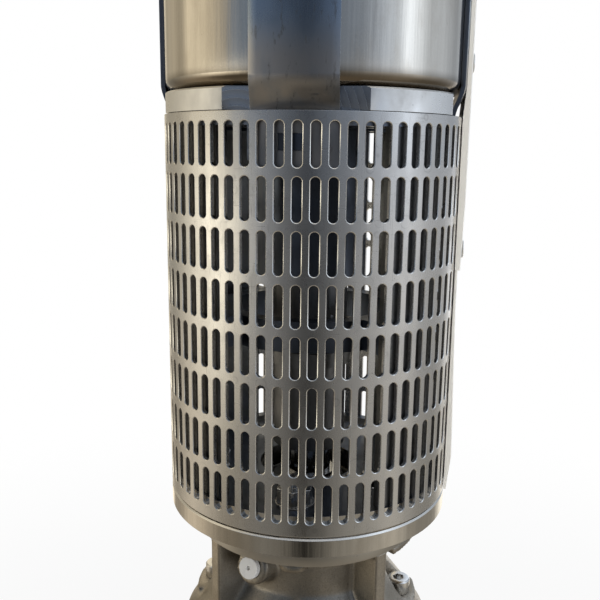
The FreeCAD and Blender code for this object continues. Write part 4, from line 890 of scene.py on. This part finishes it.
# white background for the camera; glossy rays see a room of soft upright panels instead of it
studio = {
    # azimuths in degrees: the front is 0, +X is 90 and the back is 180
    "azimuths": (-180, -152, -142, -126, -108, -98, -88, -74, -62, -52, -42, -30, -14, 4, 18, 30, 44, 58, 70,
                 78, 88, 100, 116, 136, 148, 156, 180),
    # panels near the ground, at the horizon and above: a level at each azimuth, and tints at a few
    "low": {"levels": (0.90, 1.20, 0.30, 0.32, 0.62, 0.64, 0.56, 0.29, 0.21, 0.19, 0.19, 0.20, 0.18, 0.01,
                       0.12, 0.23, 0.30, 0.36, 0.47, 0.52, 0.48, 0.31, 0.26, 0.28, 0.75, 1.40, 0.90),
            "tints": ((-50, (1.15, 1.0, 0.78)), (-34, (1.06, 1.0, 0.88)))},
    "mid": {"levels": (0.90, 0.70, 0.36, 0.35, 0.64, 0.95, 1.40, 2.25, 1.95, 1.40, 0.82, 0.50, 0.22, 0.025,
                       0.12, 0.25, 0.44, 0.62, 0.72, 0.86, 0.92, 0.62, 0.48, 0.58, 1.45, 1.80, 0.90),
            "tints": ((-50, (1.07, 1.0, 0.83)), (-34, (0.98, 1.0, 1.03)))},
    "high": {"levels": (0.60, 0.95, 0.34, 0.44, 0.34, 0.78, 0.70, 0.58, 0.38, 0.24, 0.21, 0.17, 0.13, 0.045,
                        0.22, 0.24, 0.32, 0.62, 0.80, 1.40, 1.00, 0.58, 0.58, 0.36, 0.58, 1.20, 0.60),
             "tints": ((-64, (1.12, 1.0, 0.77)), (-50, (0.78, 1.0, 1.34)), (30, (0.82, 1.0, 1.30)),
                       (80, (0.90, 1.0, 1.14)))},
    # blends are between two shares of straight up, from one part of the room to the next
    "nadirBlend": (-0.85, -0.5),
    "groundBlend": (-0.45, -0.04),
    "skyBlend": (-0.06, 0.02),
    "zenithBlend": (0.75, 0.98),
    "zenith": (0.85, 0.85, 0.85),
    "nadir": (0.34, 0.30, 0.24),
    "lamps": {
        "key": {"place": (-1.3, -1.0, 1.9), "size": (0.9, 0.9), "power": 5.0, "colour": (1.0, 0.95, 0.86)},
        "fill": {"place": (1.5, -0.6, 1.3), "size": (0.8, 1.4), "power": 2.5, "colour": (0.97, 0.99, 1.0)},
        "front": {"place": (0.45, -1.6, 1.1), "size": (1.0, 1.0), "power": 12.0,
                  "colour": (1.0, 0.985, 0.95)},
    },
    "aim": (0, 0, 0.66),
    "floorSize": 14.0,
    "floorGap": 1 * mm,
    "floorFade": (0.35, 1.6),
    "nearWhite": 0.80,
    "paper": (0.86, 0.86, 0.86),
}


def tintAt(tints, azimuth):
    for (start, first), (end, second) in zip(tints, tints[1:]):
        if azimuth < end:
            return tinted(first, second, max((azimuth - start) / (end - start), 0.0))
    return tints[-1][1]


def makeRoom(s):
    world = bpy.data.worlds.new("studioRoom")
    bpy.context.scene.world = world
    world.use_nodes = True
    world.node_tree.nodes.clear()
    room = Shading(world.node_tree)
    direction = room.make("ShaderNodeTexCoord", output="Generated")
    across, along, upward = (room.make("ShaderNodeSeparateXYZ", {0: direction}, axis) for axis in "XYZ")
    azimuth = across.maths("ARCTAN2", across, along * -1.0) * (1 / math.tau) + 0.5

    def light(colour):
        return room.make("ShaderNodeBackground", {"Color": colour})

    def panels(height):
        stops = [(degrees / 360 + 0.5, shaded(tintAt(s[height]["tints"], degrees), level))
                 for degrees, level in zip(s["azimuths"], s[height]["levels"])]
        return light(room.make("ShaderNodeValToRGB", {0: azimuth}, stops=stops))

    walls = room.mixShaders(room.ranged(upward, *s["groundBlend"]), panels("low"), panels("mid"))
    walls = room.mixShaders(room.ranged(upward, *s["skyBlend"]), walls, panels("high"))
    around = room.mixShaders(room.ranged(upward, *s["zenithBlend"]), walls, light(s["zenith"]))
    around = room.mixShaders(room.ranged(upward, *s["nadirBlend"]), light(s["nadir"]), around)
    direct = room.make("ShaderNodeLightPath", output="Is Camera Ray")
    through = room.make("ShaderNodeLightPath", output="Is Transmission Ray")
    paper = room.mixShaders(direct.maths("MAXIMUM", direct, through), around, light((1, 1, 1)))
    room.feed(world.node_tree.nodes.new("ShaderNodeOutputWorld").inputs[0], paper)


def makeLamps(s):
    for name, lamp in s["lamps"].items():
        data = bpy.data.lights.new(name + "Softbox", "AREA")
        data.shape = "RECTANGLE"
        data.size, data.size_y = lamp["size"]
        data.energy = lamp["power"]
        data.color = lamp["colour"]
        box = bpy.data.objects.new(name + "Softbox", data)
        box.location = lamp["place"]
        box.rotation_euler = (Vector(s["aim"]) - box.location).to_track_quat("-Z", "Y").to_euler()
        box.visible_glossy = False
        bpy.context.scene.collection.objects.link(box)


# the floor is white to the camera and keeps a share of its own shading, so the shadow shows
def makeFloor(s):
    bm = bmesh.new()
    bmesh.ops.create_grid(bm, x_segments=2, y_segments=2, size=s["floorSize"])
    bmesh.ops.translate(bm, verts=bm.verts, vec=(0, 0, -s["floorGap"]))
    mesh = bpy.data.meshes.new("studioFloor")
    bm.to_mesh(mesh)
    bm.free()
    floor = bpy.data.objects.new("studioFloor", mesh)
    floor.visible_glossy = False
    bpy.context.scene.collection.objects.link(floor)
    finish = Finish("whitePaperFloor", 0.0, 0.9, s["paper"])
    distance = finish.make("ShaderNodeVectorMath", {0: finish.where}, "Value", operation="LENGTH")
    white = finish.ranged(distance, *s["floorFade"], s["nearWhite"], 1.0)
    share = finish.make("ShaderNodeLightPath", output="Is Camera Ray") * white
    own = Field(finish, finish.shader.outputs[0])
    glow = finish.make("ShaderNodeEmission", {"Color": (1, 1, 1)})
    finish.feed(finish.tree.nodes["Material Output"].inputs[0], finish.mixShaders(share, own, glow))
    mesh.materials.append(finish.material)


makeRoom(studio)
makeLamps(studio)
makeFloor(studio)
bpy.context.scene.view_settings.view_transform = "Standard"
print("studio lit")
